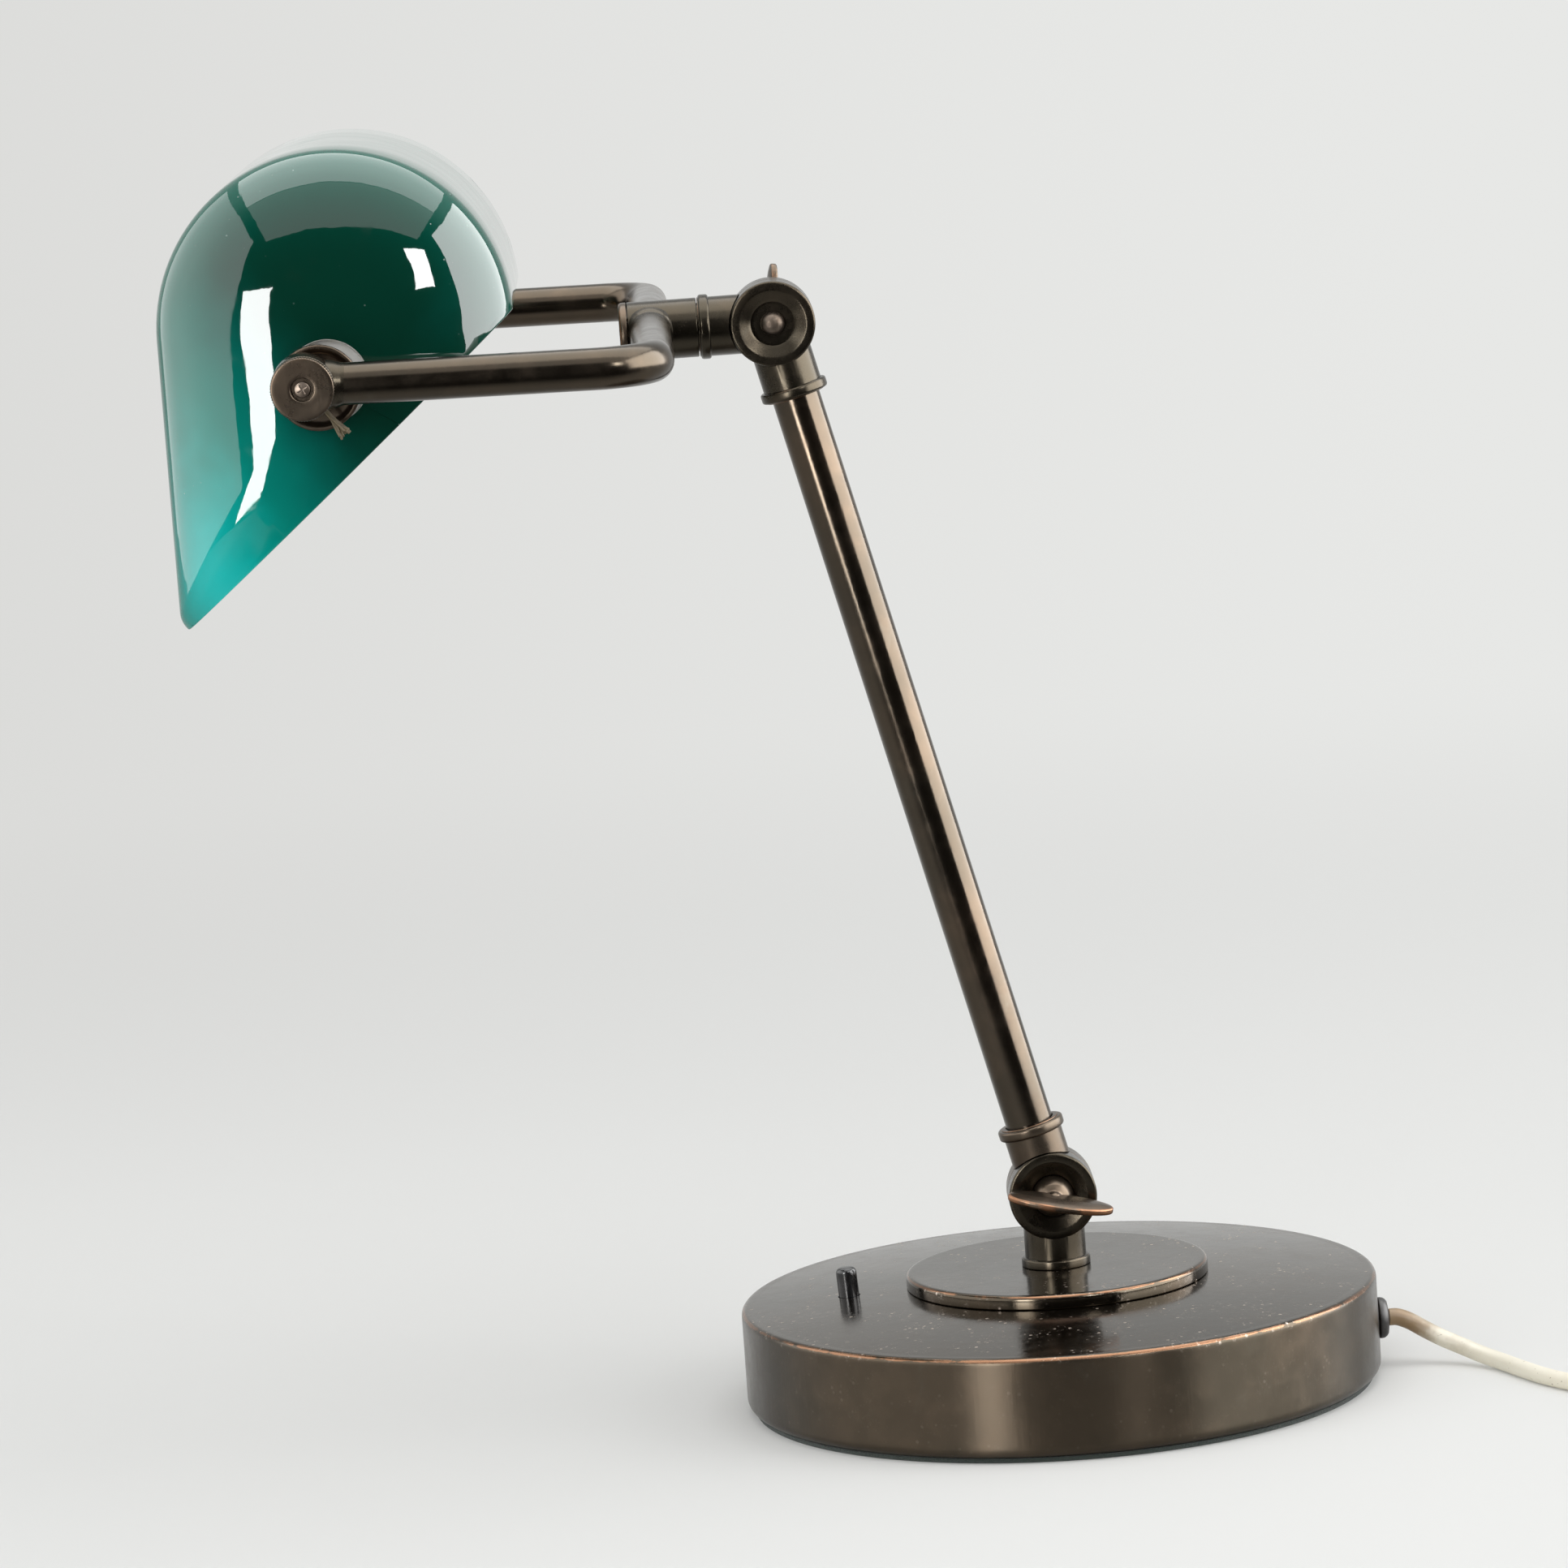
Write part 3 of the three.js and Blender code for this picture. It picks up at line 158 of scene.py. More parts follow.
HOLDER_START = -99.55
HOLDER_RADIUS = 16.5

# Cord, in millimetres along its way from the foot to the plug
CORD_RADIUS = 2.7
RUN_PLACES = (
    (0, 103.7, 15.3), (0, 106.2, 15.2), (0.4, 110, 13.7), (1.6, 114.2, 11.2), (3.6, 119, 8.6),
    (7, 125.5, 5.8), (13, 131.5, 3.8), (21, 136.8, 2.9), (32, 141.5, 2.75), (44, 147, 2.75),
    (56, 154.5, 2.75), (70, 163.5, 2.9),
)
COIL_X = 72.0
COIL_Y = 218.0
COIL_INNER = 21.6
COIL_PITCH = 5.95
COIL_HALF_TURNS = 3.7
COIL_FLOOR = 3.8
COIL_MIDDLE = math.radians(-50 + 3.7 * 360)
TAIL_LENGTH = 34.0
PLUG_RADIUS = 8.5
PLUG_NOSE_RADIUS = 4.2
PLUG_NOSE = 12.0
PLUG_LENGTH = 28.0
BLADE_PITCH = 12.7

# Frayed thread behind the near boss
THREAD_STRANDS = 14
THREAD_STEPS = 7
THREAD_RADIUS = 0.38

# Camera of the photo: its place in metres, its turn in degrees and its lens on a 36 mm sensor
CAMERA_PLACE = (2.3450, -0.11254, 0.54074)
CAMERA_TURN = (81.6882, 4.0307, 88.4905)
CAMERA_LENS = 174.57
SENSOR_WIDTH = 36.0

# Floor, in metres
FLOOR_REACH = 14.0
FLOOR_FRONT = 1.0

# Lights, in metres: name, place, width, height and radiance of the soft ones that all face the lamp
LAMP_MIDDLE = (0, -0.05, 0.2)
SOFT_LIGHTS = (
    ("soft_overhead", (0.3, 0.0, 2.2), 2.4, 2.0, 1.7),
    ("soft_left", (1.0, -1.9, 1.2), 1.5, 1.5, 1.1),
    ("soft_right", (0.6, 1.9, 1.2), 1.5, 1.5, 2.0),
    ("soft_front", (2.6, -0.5, 1.5), 1.6, 1.2, 2.4),
)
# Walls, ceiling and windows that polished surfaces mirror, each with the point that it faces after its place
ROOF_RISE = 1.8


def crown_height(radius):
    """Height of the foot's crowned top at a radius"""
    return CROWN_SEAT - (radius * radius - PLINTH_SEAT * PLINTH_SEAT) / (2 * CROWN_RADIUS)


def shifted(x, y, z):
    return Matrix.Translation((x * MM, y * MM, z * MM))


def facing(axis, side=1):
    """Turns a piece that was made along Z so that it lies along another axis"""
    if axis == "X":
        return Matrix.Rotation(side * math.pi / 2, 4, "Y")
    return Matrix.Rotation(-side * math.pi / 2, 4, "X")


STEM = shifted(0, 0, LOWER_PIVOT) @ Matrix.Rotation(STEM_LEAN, 4, "X")
FORK = STEM @ shifted(0, 0, STEM_LENGTH) @ Matrix.Rotation(-STEM_LEAN, 4, "X")
SHADE = FORK @ shifted(0, -SHADE_REACH, SHADE_RISE)
GLASS = SHADE @ Matrix.Rotation(GLASS_LEAN, 4, "Y")
SWITCH_TURN = Matrix.Rotation(math.asin(SWITCH_FORWARD / CROWN_RADIUS), 4, "X")
SWITCH = shifted(0, -SWITCH_FORWARD, crown_height(SWITCH_FORWARD)) @ SWITCH_TURN
SKY = SHADE.translation.z + ROOF_RISE
MIRRORED_LIGHTS = (
    ("roof_back", (-0.30, 0.09, SKY), (-0.30, 0.09, 0), 2.40, 2.90, 4.0),
    ("roof_front", (1.72, 0.09, SKY), (1.72, 0.09, 0), 1.60, 2.90, 1.5),
    ("left_panel", (0.50, -1.72, 1.06), (0.50, -0.2, 0.72), 3.40, 2.02, 2.5),
    ("right_panel", (0.40, 1.88, 1.06), (0.40, 0.3, 0.80), 3.10, 2.02, 9.0),
    ("tall_window", (2.18, -1.20, 0.42), (0, -0.21, 0.42), 0.52, 1.50, 22.0),
    ("square_window", (1.62, 0.74, 1.05), SHADE.translation, 0.30, 0.44, 24.0),
)


# Sizes and colours that can be changed


def colour_property(name, description, default):
    return FloatVectorProperty(
        name=name, description=description, default=default, size=3, min=0.0, max=1.0, subtype="COLOR"
    )


class LampMetalProperties(bpy.types.PropertyGroup):
    patina: colour_property("Patina", "Dark brown of the aged bronze", (0.055, 0.045, 0.034))
    patina_warm: colour_property("Warm patina", "Redder brown of thin patina", (0.090, 0.066, 0.047))
    copper: colour_property("Worn copper", "Bare metal on handled edges", (0.26, 0.125, 0.066))
    brass: colour_property("Brass", "Turned brass fittings", (0.48, 0.34, 0.13))
    steel: colour_property("Steel", "Plated screws and washers", (0.46, 0.45, 0.43))
    dust: colour_property("Dust", "Specks of dust on the foot", (0.42, 0.36, 0.31))
    knurls: IntProperty(
        name="Knurls", description="Teeth around each clamp disc", default=72, min=24, max=120
    )


class LampGlassProperties(bpy.types.PropertyGroup):
    emerald: colour_property("Emerald", "Deep green of the cased glass", (0.0005, 0.034, 0.020))
    shoulder: colour_property("Shoulder", "Green where the shoulder thins the casing", (0.001, 0.125, 0.088))
    # The shoulder green is painted light: a paler green for the light that falls on the barrel, not a thinner
    # casing
    teal: colour_property("Teal", "Green on the way to the front lip", (0.0008, 0.25, 0.20))
    # Teal and sea green are painted light: the glass turns paler towards the front lip, where light shines
    # through it
    sea_green: colour_property("Sea green", "Paler green near the front lip", (0.006, 0.66, 0.63))
    opal: colour_property("Opal", "White inner layer", (0.86, 0.87, 0.85))
    wall: FloatProperty(
        name="Wall", description="Thickness of the glass", default=GLASS_WALL * MM,
        min=1.5 * MM, max=5 * MM, unit="LENGTH",
    )


class LampCordProperties(bpy.types.PropertyGroup):
    ivory: colour_property("Ivory", "Clean cord", (0.86, 0.82, 0.69))
    aged: colour_property("Aged", "Cord stained near the foot", (0.27, 0.175, 0.085))
    steps: IntProperty(
        name="Steps per turn", description="Points along each turn of the coil", default=40, min=16, max=96
    )


class LampStageProperties(bpy.types.PropertyGroup):
    paper: colour_property("Paper", "Pale floor and background", (0.80, 0.805, 0.79))
    # Painted shade: the floor's glow is darker to the left, farther from the light
    paper_painted_shade: colour_property("Paper to the left", "Paper farther from the light", (0.70, 0.70, 0.685))
    room: FloatProperty(
        name="Room light", description="Even light from all round", default=0.40, min=0.0, max=1.0
    )
    windows: FloatProperty(
        name="Window light", description="Strength of the soft window lights", default=1.0, min=0.0, max=3.0
    )


# Modelling


def placed(name, data):
    """A new object in the scene"""
    made = bpy.data.objects.new(name, data)
    bpy.context.scene.collection.objects.link(made)
    return made


def blank_body():
    """An empty body whose points can carry wear"""
    body = bmesh.new()
    body.verts.layers.float.new("edge_wear")
    return body


def moved(body, *places):
    """The body, turned and shifted by each matrix in turn"""
    for place in places:
        bmesh.ops.transform(body, matrix=place, verts=body.verts)
    return body


def points_of(geometry):
    return [item for item in geometry if isinstance(item, bmesh.types.BMVert)]


def edges_of(geometry):
    return [item for item in geometry if isinstance(item, bmesh.types.BMEdge)]


def drawn_out(body, edges, way):
    """Extrudes open edges in a straight line and gives back what lies at their new end"""
    grown = bmesh.ops.extrude_edge_only(body, edges=edges)["geom"]
    points = points_of(grown)
    bmesh.ops.translate(body, vec=way, verts=points)
    return points + [edge for edge in edges_of(grown) if edge.verts[0] in points and edge.verts[1] in points]


def lathe(corners, steps=96, rounds=4, along=None, at=None):
    """A piece turned about Z from (radius, height, rounding, worn) corners, open or closed on themselves"""
    turned = blank_body()
    worn = turned.verts.layers.float["edge_wear"]
    closed = corners[0][:2] == corners[-1][:2]
    kept = corners[:-1] if closed else corners
    points = [turned.verts.new((corner[0] * MM, 0, corner[1] * MM)) for corner in kept]
    for first, second in zip(points, points[1:] + points[:1]):
        if closed or second is not points[0]:
            turned.edges.new((first, second))
    for point, corner in zip(points, kept):
        if len(corner) > 2 and corner[2]:
            rounded = bmesh.ops.bevel(
                turned, geom=[point], offset=corner[2] * MM, offset_type="OFFSET", affect="VERTICES",
                segments=rounds, profile=0.5, material=-1,
            )
            tip = Vector((corner[0] * MM, 0, corner[1] * MM))
            away = [(vert.co - tip).length for vert in rounded["verts"]]
            spread = max(max(away) - min(away), 1e-6)
            for vert, gap in zip(rounded["verts"], away):
                share = 1 - (gap - min(away)) / spread
                vert[worn] = share * share * (corner[3] if len(corner) > 3 else 1.0)
    support = 0.9 * MM
    for edge in turned.edges[:]:
        length = edge.calc_length()
        if length > 3 * support:
            first, second = edge.verts
            far = bmesh.utils.edge_split(edge, first, support / length)[1]
            far[worn] = 0.0
            rest = next(e for e in far.link_edges if second in e.verts)
            near = bmesh.utils.edge_split(rest, second, support / rest.calc_length())[1]
            near[worn] = 0.0
    bmesh.ops.spin(
        turned, geom=turned.verts[:] + turned.edges[:], axis=(0, 0, 1), cent=(0, 0, 0),
        angle=math.tau, steps=steps, use_merge=True,
    )
    return settled(turned, along, at)


def settled(body, along=None, at=None):
    """Merges the seam and poles, turns the faces outwards and puts the body in place"""
    bmesh.ops.remove_doubles(body, verts=body.verts, dist=2e-6)
    bmesh.ops.recalc_face_normals(body, faces=body.faces)
    return moved(body, *(place for place in (along, at) if place is not None))


def bar(radius, start, end, steps=48, rounding=0.0):
    return lathe([(0, start), (radius, start, rounding), (radius, end, rounding), (0, end)], steps)


def tube(outer, inner, start, end, steps=64, rounding=0.2):
    corners = [(inner, start), (outer, start, rounding), (outer, end, rounding), (inner, end)]
    return lathe(corners + corners[:1], steps)


def slab(width, depth, height, rounding, at):
    """A block with rounded edges"""
    body = blank_body()
    bmesh.ops.create_cube(body, size=1.0)
    bmesh.ops.scale(body, vec=(width * MM, depth * MM, height * MM), verts=body.verts)
    bmesh.ops.bevel(
        body, geom=body.edges[:], offset=rounding * MM, affect="EDGES", segments=3, profile=0.5, material=-1
    )
    return moved(body, at)


def nut(across, hole, start, end, along):
    """A six-sided nut with its corners turned down and a bore"""
    body = blank_body()
    bmesh.ops.create_circle(body, cap_ends=False, radius=across / math.sqrt(3) * MM, segments=6)
    bmesh.ops.create_circle(body, cap_ends=False, radius=hole * MM, segments=24)
    bmesh.ops.bridge_loops(body, edges=body.edges[:])
    bmesh.ops.translate(body, vec=(0, 0, start * MM), verts=body.verts)
    raised = bmesh.ops.extrude_face_region(body, geom=body.faces[:])
    bmesh.ops.translate(body, vec=(0, 0, (end - start) * MM), verts=points_of(raised["geom"]))
    body = settled(body)
    outer = [e for e in body.edges if max(v.co.xy.length for v in e.verts) > hole * 1.2 * MM]
    rims = [e for e in outer if e.calc_face_angle(0) > 0.5]
    bmesh.ops.bevel(body, geom=rims, offset=0.4 * MM, affect="EDGES", segments=2, profile=0.5, material=-1)
    return moved(body, along)


def together(*bodies):
    """Several bodies in one, each as it is"""
    whole = blank_body()
    for body in bodies:
        mesh = bpy.data.meshes.new("part")
        body.to_mesh(mesh)
        body.free()
        whole.from_mesh(mesh)
        bpy.data.meshes.remove(mesh)
    return whole


def loose_object(body):
    mesh = bpy.data.meshes.new("blank")
    body.to_mesh(mesh)
    body.free()
    return placed("blank", mesh)


def carved(body, *tools):
    """The body with each tool cut away from it"""
    blank = loose_object(body)
    cutters = [loose_object(tool) for tool in tools]
    for cutter in cutters:
        cut = blank.modifiers.new("cut", "BOOLEAN")
        cut.operation = "DIFFERENCE"
        cut.solver = "EXACT"
        cut.object = cutter
    graph = bpy.context.evaluated_depsgraph_get()
    mesh = bpy.data.meshes.new_from_object(blank.evaluated_get(graph))
    result = bmesh.new()
    result.from_mesh(mesh)
    if not result.faces:
        raise RuntimeError("A cut left nothing of its piece")
    for used in [blank] + cutters:
        bpy.data.objects.remove(used)
    return result


def piece(name, body, rides, looks, nodes, smooth=32):
    """Makes the object, finishes it, hangs it on its body and hides the CAD nodes that it stands for"""
    mesh = bpy.data.meshes.new(name)
    body.to_mesh(mesh)
    body.free()
    for look in looks:
        mesh.materials.append(finish(look))
    mesh.shade_smooth()
    mesh.set_sharp_from_angle(angle=math.radians(smooth))
    made = placed(name, mesh)
    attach(made, rides)
    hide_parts(*nodes)
    return made


def round_curve(name, lines, radius, resolution, look, capped):
    """Round strands along lines of points"""
    data = bpy.data.curves.new(name, "CURVE")
    data.dimensions = "3D"
    data.bevel_depth = radius
    data.bevel_resolution = resolution
    data.use_fill_caps = capped
    for line in lines:
        spline = data.splines.new("POLY")
        spline.points.add(len(line) - 1)
        for target, point in zip(spline.points, line):
            target.co = (*point, 1.0)
        spline.use_smooth = True
    data.materials.append(finish(look))
    return placed(name, data)


def dress(name, *nodes):
    """Gives CAD nodes a finish"""
    for node in nodes:
        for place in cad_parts[node].material_slots:
            place.material = finish(name)


# Finishes


class NodeTree:
    """A node tree with short calls for its usual nodes"""

    def __init__(self, tree, coordinates):
        self.nodes, self.links = tree.nodes, tree.links
        self.place = self.nodes.new("ShaderNodeTexCoord").outputs[coordinates]

    def put(self, socket, value):
        if isinstance(value, bpy.types.NodeSocket):
            self.links.new(value, socket)
        elif isinstance(value, (float, int)):
            socket.default_value = value
        else:
            opaque = len(value) == 3 and len(socket.default_value) == 4
            socket.default_value = (*value, 1.0) if opaque else value

    def stretched(self, scale, turn=(0, 0, 0)):
        node = self.nodes.new("ShaderNodeMapping")
        self.put(node.inputs["Vector"], self.place)
        node.inputs["Scale"].default_value = scale
        node.inputs["Rotation"].default_value = turn
        return node.outputs["Vector"]

    def noise(self, scale, detail=4.0, roughness=0.55, at=None, distortion=0.0):
        node = self.nodes.new("ShaderNodeTexNoise")
        self.put(node.inputs["Vector"], at or self.place)
        node.inputs["Scale"].default_value = scale
        node.inputs["Detail"].default_value = detail
        node.inputs["Roughness"].default_value = roughness
        node.inputs["Distortion"].default_value = distortion
        return node.outputs["Fac"]

    def cells(self, scale):
        node = self.nodes.new("ShaderNodeTexVoronoi")
        self.put(node.inputs["Vector"], self.place)
        node.inputs["Scale"].default_value = scale
        return node.outputs["Distance"]

    def ramp(self, value, low, high, start=0.0, end=1.0):
        node = self.nodes.new("ShaderNodeMapRange")
        node.interpolation_type = "SMOOTHSTEP"
        for name, number in (("From Min", low), ("From Max", high), ("To Min", start), ("To Max", end)):
            node.inputs[name].default_value = number
        self.put(node.inputs["Value"], value)
        return node.outputs["Result"]

    def maths(self, operation, first, second=0.0):
        node = self.nodes.new("ShaderNodeMath")
        node.operation = operation
        self.put(node.inputs[0], first)
        self.put(node.inputs[1], second)
        return node.outputs[0]

    def mix(self, share, first, second):
        node = self.nodes.new("ShaderNodeMix")
        node.data_type = "RGBA"
        self.put(node.inputs[0], share)
        self.put(node.inputs[6], first)
        self.put(node.inputs[7], second)
        return node.outputs[2]

    def part_of_place(self, axis):
        node = self.nodes.new("ShaderNodeSeparateXYZ")
        self.put(node.inputs[0], self.place)
        return node.outputs[axis]

    def along(self, direction):
        node = self.nodes.new("ShaderNodeVectorMath")
        node.operation = "DOT_PRODUCT"
        self.put(node.inputs[0], self.place)
        node.inputs[1].default_value = direction
        return node.outputs["Value"]

    def wear(self, broken):
        """Share of bare metal on the marked edges, broken up by a noise"""
        node = self.nodes.new("ShaderNodeAttribute")
        node.attribute_name = "edge_wear"
        rubbed = self.maths("MULTIPLY", node.outputs["Fac"], self.ramp(broken, 0.25, 0.6, 0.35, 1.15))
        return self.ramp(rubbed, 0.45, 0.75)

    def bump(self, height, strength, distance, after=None):
        node = self.nodes.new("ShaderNodeBump")
        node.inputs["Strength"].default_value = strength
        node.inputs["Distance"].default_value = distance
        self.put(node.inputs["Height"], height)
        if after is not None:
            self.put(node.inputs["Normal"], after)
        return node.outputs["Normal"]


class Shader(NodeTree):
    """The node tree of one finish"""

    def __init__(self, name):
        self.material = bpy.data.materials.new(name)
        self.material.use_nodes = True
        super().__init__(self.material.node_tree, "Object")
        self.surface = self.nodes["Principled BSDF"]

    def set(self, **values):
        for name, value in values.items():
            self.put(self.surface.inputs[name.replace("_", " ")], value)


def bronze(name, thin_patina, gloss, deeper, foot=False):
    """Chemically darkened bronze, rubbed bright on its edges; the foot's has dust and a turned side"""
    metal = bpy.context.scene.lamp_metal
    shader = Shader(name)
    broad = shader.noise(16, 4, 0.6)
    middle = shader.noise(95, 5, 0.6, distortion=0.4)
    fine = shader.noise(900, 3, 0.6)
    share = shader.maths(
        "ADD", shader.ramp(broad, 0.38, 0.66, 0.0, 0.5), shader.ramp(middle, 0.45, 0.75, 0.0, 0.25)
    )
    share = shader.maths("ADD", share, thin_patina)
    patina = shader.mix(shader.ramp(share, 0.0, 1.0), metal.patina, metal.patina_warm)
    blotches = shader.ramp(shader.noise(42, 6, 0.7, distortion=0.8), 0.55, 0.80, 0.0, 0.35)
    patina = shader.mix(blotches, patina, (0.105, 0.098, 0.080))
    patina = shader.mix(deeper, patina, (0.018, 0.017, 0.011))
    rubbed = shader.maths("MULTIPLY", shader.wear(middle), 0.5 if foot else 0.7)
    colour = shader.mix(rubbed, patina, metal.copper)
    roughness = shader.maths(
        "ADD", shader.ramp(middle, 0.3, 0.75, gloss, gloss + 0.08), shader.ramp(fine, 0.3, 0.8, 0.0, 0.03)
    )
    scratches = shader.noise(260, 3, 0.7, at=shader.stretched((1.0, 1.0, 0.06), (0.24, 0.0, 0.0)))
    height = shader.maths(
        "ADD", shader.ramp(middle, 0.2, 0.8, 0.0, 0.6), shader.ramp(scratches, 0.45, 0.75, 0.0, 0.4)
    )
    if foot:
        level = shader.part_of_place("Z")
        specks = shader.ramp(shader.cells(300), 0.12, 0.20, 1.0, 0.0)
        sparse = shader.ramp(shader.noise(60, 4, 0.7), 0.42, 0.60)
        pits = shader.ramp(shader.noise(620, 4, 0.8), 0.55, 0.68, 0.0, 0.6)
        share = shader.maths(
            "ADD", shader.maths("MULTIPLY", specks, sparse), shader.maths("MULTIPLY", pits, sparse)
        )
        share = shader.maths("MULTIPLY", share, shader.ramp(level, 0.0300, 0.0325, 0.05, 0.7))
        colour = shader.mix(share, colour, metal.dust)
        roughness = shader.maths("ADD", roughness, shader.ramp(level, 0.0310, 0.0330, 0.20, 0.0))
        roughness = shader.maths("ADD", roughness, shader.maths("MULTIPLY", share, 0.4))
    shader.set(Base_Color=colour, Metallic=0.96, Roughness=roughness)
    relief = shader.bump(height, 0.04, 0.0006, shader.bump(fine, 0.03, 0.0002))
    if foot:
        turned = shader.nodes.new("ShaderNodeTangent")
        turned.direction_type = "RADIAL"
        turned.axis = "Z"
        shader.set(Tangent=turned.outputs[0], Anisotropic=shader.ramp(level, 0.0310, 0.0325, 0.92, 0.0))
        shader.set(Anisotropic_Rotation=0.25)
    shader.set(Normal=relief)
    return shader.material


def turned_metal(name, colour, darker, roughness):
    """Lathe-turned metal with faint tool marks and tarnish"""
    if isinstance(colour, str):
        colour = getattr(bpy.context.scene.lamp_metal, colour)
    shader = Shader(name)
    tarnish = shader.noise(130, 5, 0.65)
    marks = shader.noise(1500, 2, 0.5, at=shader.stretched((0.1, 1.0, 1.0)))
    tint = shader.mix(shader.ramp(tarnish, 0.4, 0.7), colour, darker)
    shader.set(Base_Color=tint, Metallic=1.0)
    shader.set(Roughness=shader.ramp(tarnish, 0.3, 0.75, roughness, roughness + 0.16))
    shader.set(Normal=shader.bump(marks, 0.08, 0.0002))
    return shader.material


def cast_iron(name):
    shader = Shader(name)
    grain = shader.noise(700, 5, 0.7)
    rust = shader.ramp(shader.noise(40, 5, 0.7), 0.55, 0.75)
    shader.set(Base_Color=shader.mix(rust, (0.035, 0.034, 0.034), (0.13, 0.05, 0.022)), Metallic=0.5)
    shader.set(Roughness=shader.ramp(grain, 0.3, 0.7, 0.62, 0.86), Normal=shader.bump(grain, 0.5, 0.0006))
    return shader.material


def green_felt(name):
    shader = Shader(name)
    fuzz = shader.noise(1600, 6, 0.8)
    bits = shader.noise(300, 4, 0.7)
    tint = shader.mix(shader.ramp(fuzz, 0.3, 0.75), (0.003, 0.012, 0.007), (0.008, 0.032, 0.018))
    shader.set(Base_Color=shader.mix(shader.ramp(bits, 0.66, 0.8, 0.0, 0.5), tint, (0.16, 0.20, 0.15)))
    shader.set(Roughness=shader.ramp(fuzz, 0.3, 0.7, 0.88, 1.0), Sheen_Weight=0.35, Sheen_Roughness=0.5)
    shader.set(Normal=shader.bump(fuzz, 0.9, 0.0007))
    return shader.material


def moulded(name, colour, scuffed, roughness, grain):
    """Moulded plastic or rubber with handling marks"""
    shader = Shader(name)
    cloud = shader.noise(240, 4, 0.6)
    fine = shader.noise(2200, 3, 0.6)
    shader.set(Base_Color=shader.mix(shader.ramp(cloud, 0.5, 0.8, 0.0, 0.7), colour, scuffed))
    shader.set(Roughness=shader.ramp(cloud, 0.3, 0.75, roughness, roughness + 0.10), Specular_IOR_Level=0.5)
    shader.set(Normal=shader.bump(fine, grain, 0.0002))
    return shader.material


def emerald_glass(name):
    """Outer layer of the cased glass: deep green, paler towards the front lip and over the barrel in painted
    light, with smears and waves
    """
    glass = bpy.context.scene.lamp_glass
    shader = Shader(name)
    # Painted light: the green turns teal, then sea green, towards the front lip, where light shines through
    # the glass
    towards_lip = Vector((0, -0.8, -0.6))
    pivot = SHADE.translation.dot(towards_lip)
    cloud = shader.noise(22, 3, 0.5)
    reach = shader.maths("ADD", shader.along(towards_lip), shader.ramp(cloud, 0.3, 0.7, -0.005, 0.005))
    colour = shader.mix(shader.ramp(reach, pivot - 0.012, pivot + 0.045), glass.emerald, glass.teal)
    colour = shader.mix(shader.ramp(reach, pivot + 0.030, pivot + 0.064), colour, glass.sea_green)
    # Painted light: a paler green over the barrel, fading out on the domed ends, stands in for the light
    # falling on it
    sideways = shader.maths("ABSOLUTE", shader.part_of_place("X"))
    shoulder = shader.ramp(sideways, 0.104, 0.086, 0.0, 0.85)
    colour = shader.mix(shoulder, colour, glass.shoulder)
    drawn = shader.noise(30, 3, 0.5, at=shader.stretched((0.15, 1.0, 1.0)))
    streaks = shader.ramp(drawn, 0.45, 0.8, 0.0, 0.16)
    colour = shader.mix(streaks, colour, (0.001, 0.12, 0.095))
    smears = shader.noise(55, 6, 0.7, distortion=0.6)
    specks = shader.ramp(shader.cells(260), 0.05, 0.10, 1.0, 0.0)
    sparse = shader.ramp(shader.noise(35, 3, 0.6), 0.52, 0.66)
    dust = shader.maths("MULTIPLY", specks, sparse)
    colour = shader.mix(shader.maths("MULTIPLY", dust, 0.45), colour, (0.45, 0.55, 0.52))
    shader.set(Base_Color=colour, IOR=1.52)
    roughness = shader.maths(
        "ADD", shader.ramp(smears, 0.52, 0.78, 0.025, 0.14), shader.maths("MULTIPLY", dust, 0.4)
    )
    shader.set(Roughness=roughness)
    waves = shader.bump(shader.noise(26, 2, 0.4), 0.3, 0.0014)
    ripples = shader.noise(110, 3, 0.5, at=shader.stretched((1.0, 1.0, 0.45)))
    shader.set(Normal=shader.bump(ripples, 0.14, 0.0003, waves))
    return shader.material


def opal_glass(name):
    glass = bpy.context.scene.lamp_glass
    shader = Shader(name)
    cloud = shader.noise(30, 4, 0.6)
    soil = shader.ramp(shader.noise(90, 5, 0.7), 0.55, 0.8, 0.0, 0.3)
    tint = shader.mix(shader.ramp(cloud, 0.3, 0.7, 0.0, 0.5), glass.opal, (0.78, 0.80, 0.77))
    shader.set(Base_Color=shader.mix(soil, tint, (0.62, 0.60, 0.54)), IOR=1.5)
    shader.set(Roughness=shader.ramp(cloud, 0.3, 0.7, 0.12, 0.24))
    shader.set(Normal=shader.bump(cloud, 0.2, 0.0008))
    return shader.material


def cord_sheath(name):
    """Old ivory cord, stained brown where it leaves the foot, with small dark scuffs"""
    cord = bpy.context.scene.lamp_cord
    shader = Shader(name)
    away = shader.part_of_place("Y")
    patchy = shader.noise(70, 4, 0.6)
    from_foot = shader.maths("ADD", away, shader.ramp(patchy, 0.3, 0.7, -0.006, 0.006))
    stained = shader.ramp(from_foot, 0.104, 0.127, 1.0, 0.0)
    clouded = shader.ramp(shader.noise(25, 4, 0.6), 0.4, 0.8, 0.0, 0.28)
    tint = shader.mix(clouded, cord.ivory, (0.66, 0.55, 0.36))
    tint = shader.mix(stained, tint, cord.aged)
    marks = shader.noise(900, 2, 0.5, at=shader.stretched((1.0, 0.35, 1.0), (0.0, 0.0, 0.5)))
    scuffs = shader.ramp(marks, 0.70, 0.76, 0.0, 0.7)
    shader.set(Base_Color=shader.mix(scuffs, tint, (0.22, 0.16, 0.09)))
    shader.set(Roughness=shader.ramp(patchy, 0.3, 0.7, 0.38, 0.55), Specular_IOR_Level=0.5)
    shader.set(Normal=shader.bump(shader.noise(600, 4, 0.6), 0.12, 0.0003))
    return shader.material


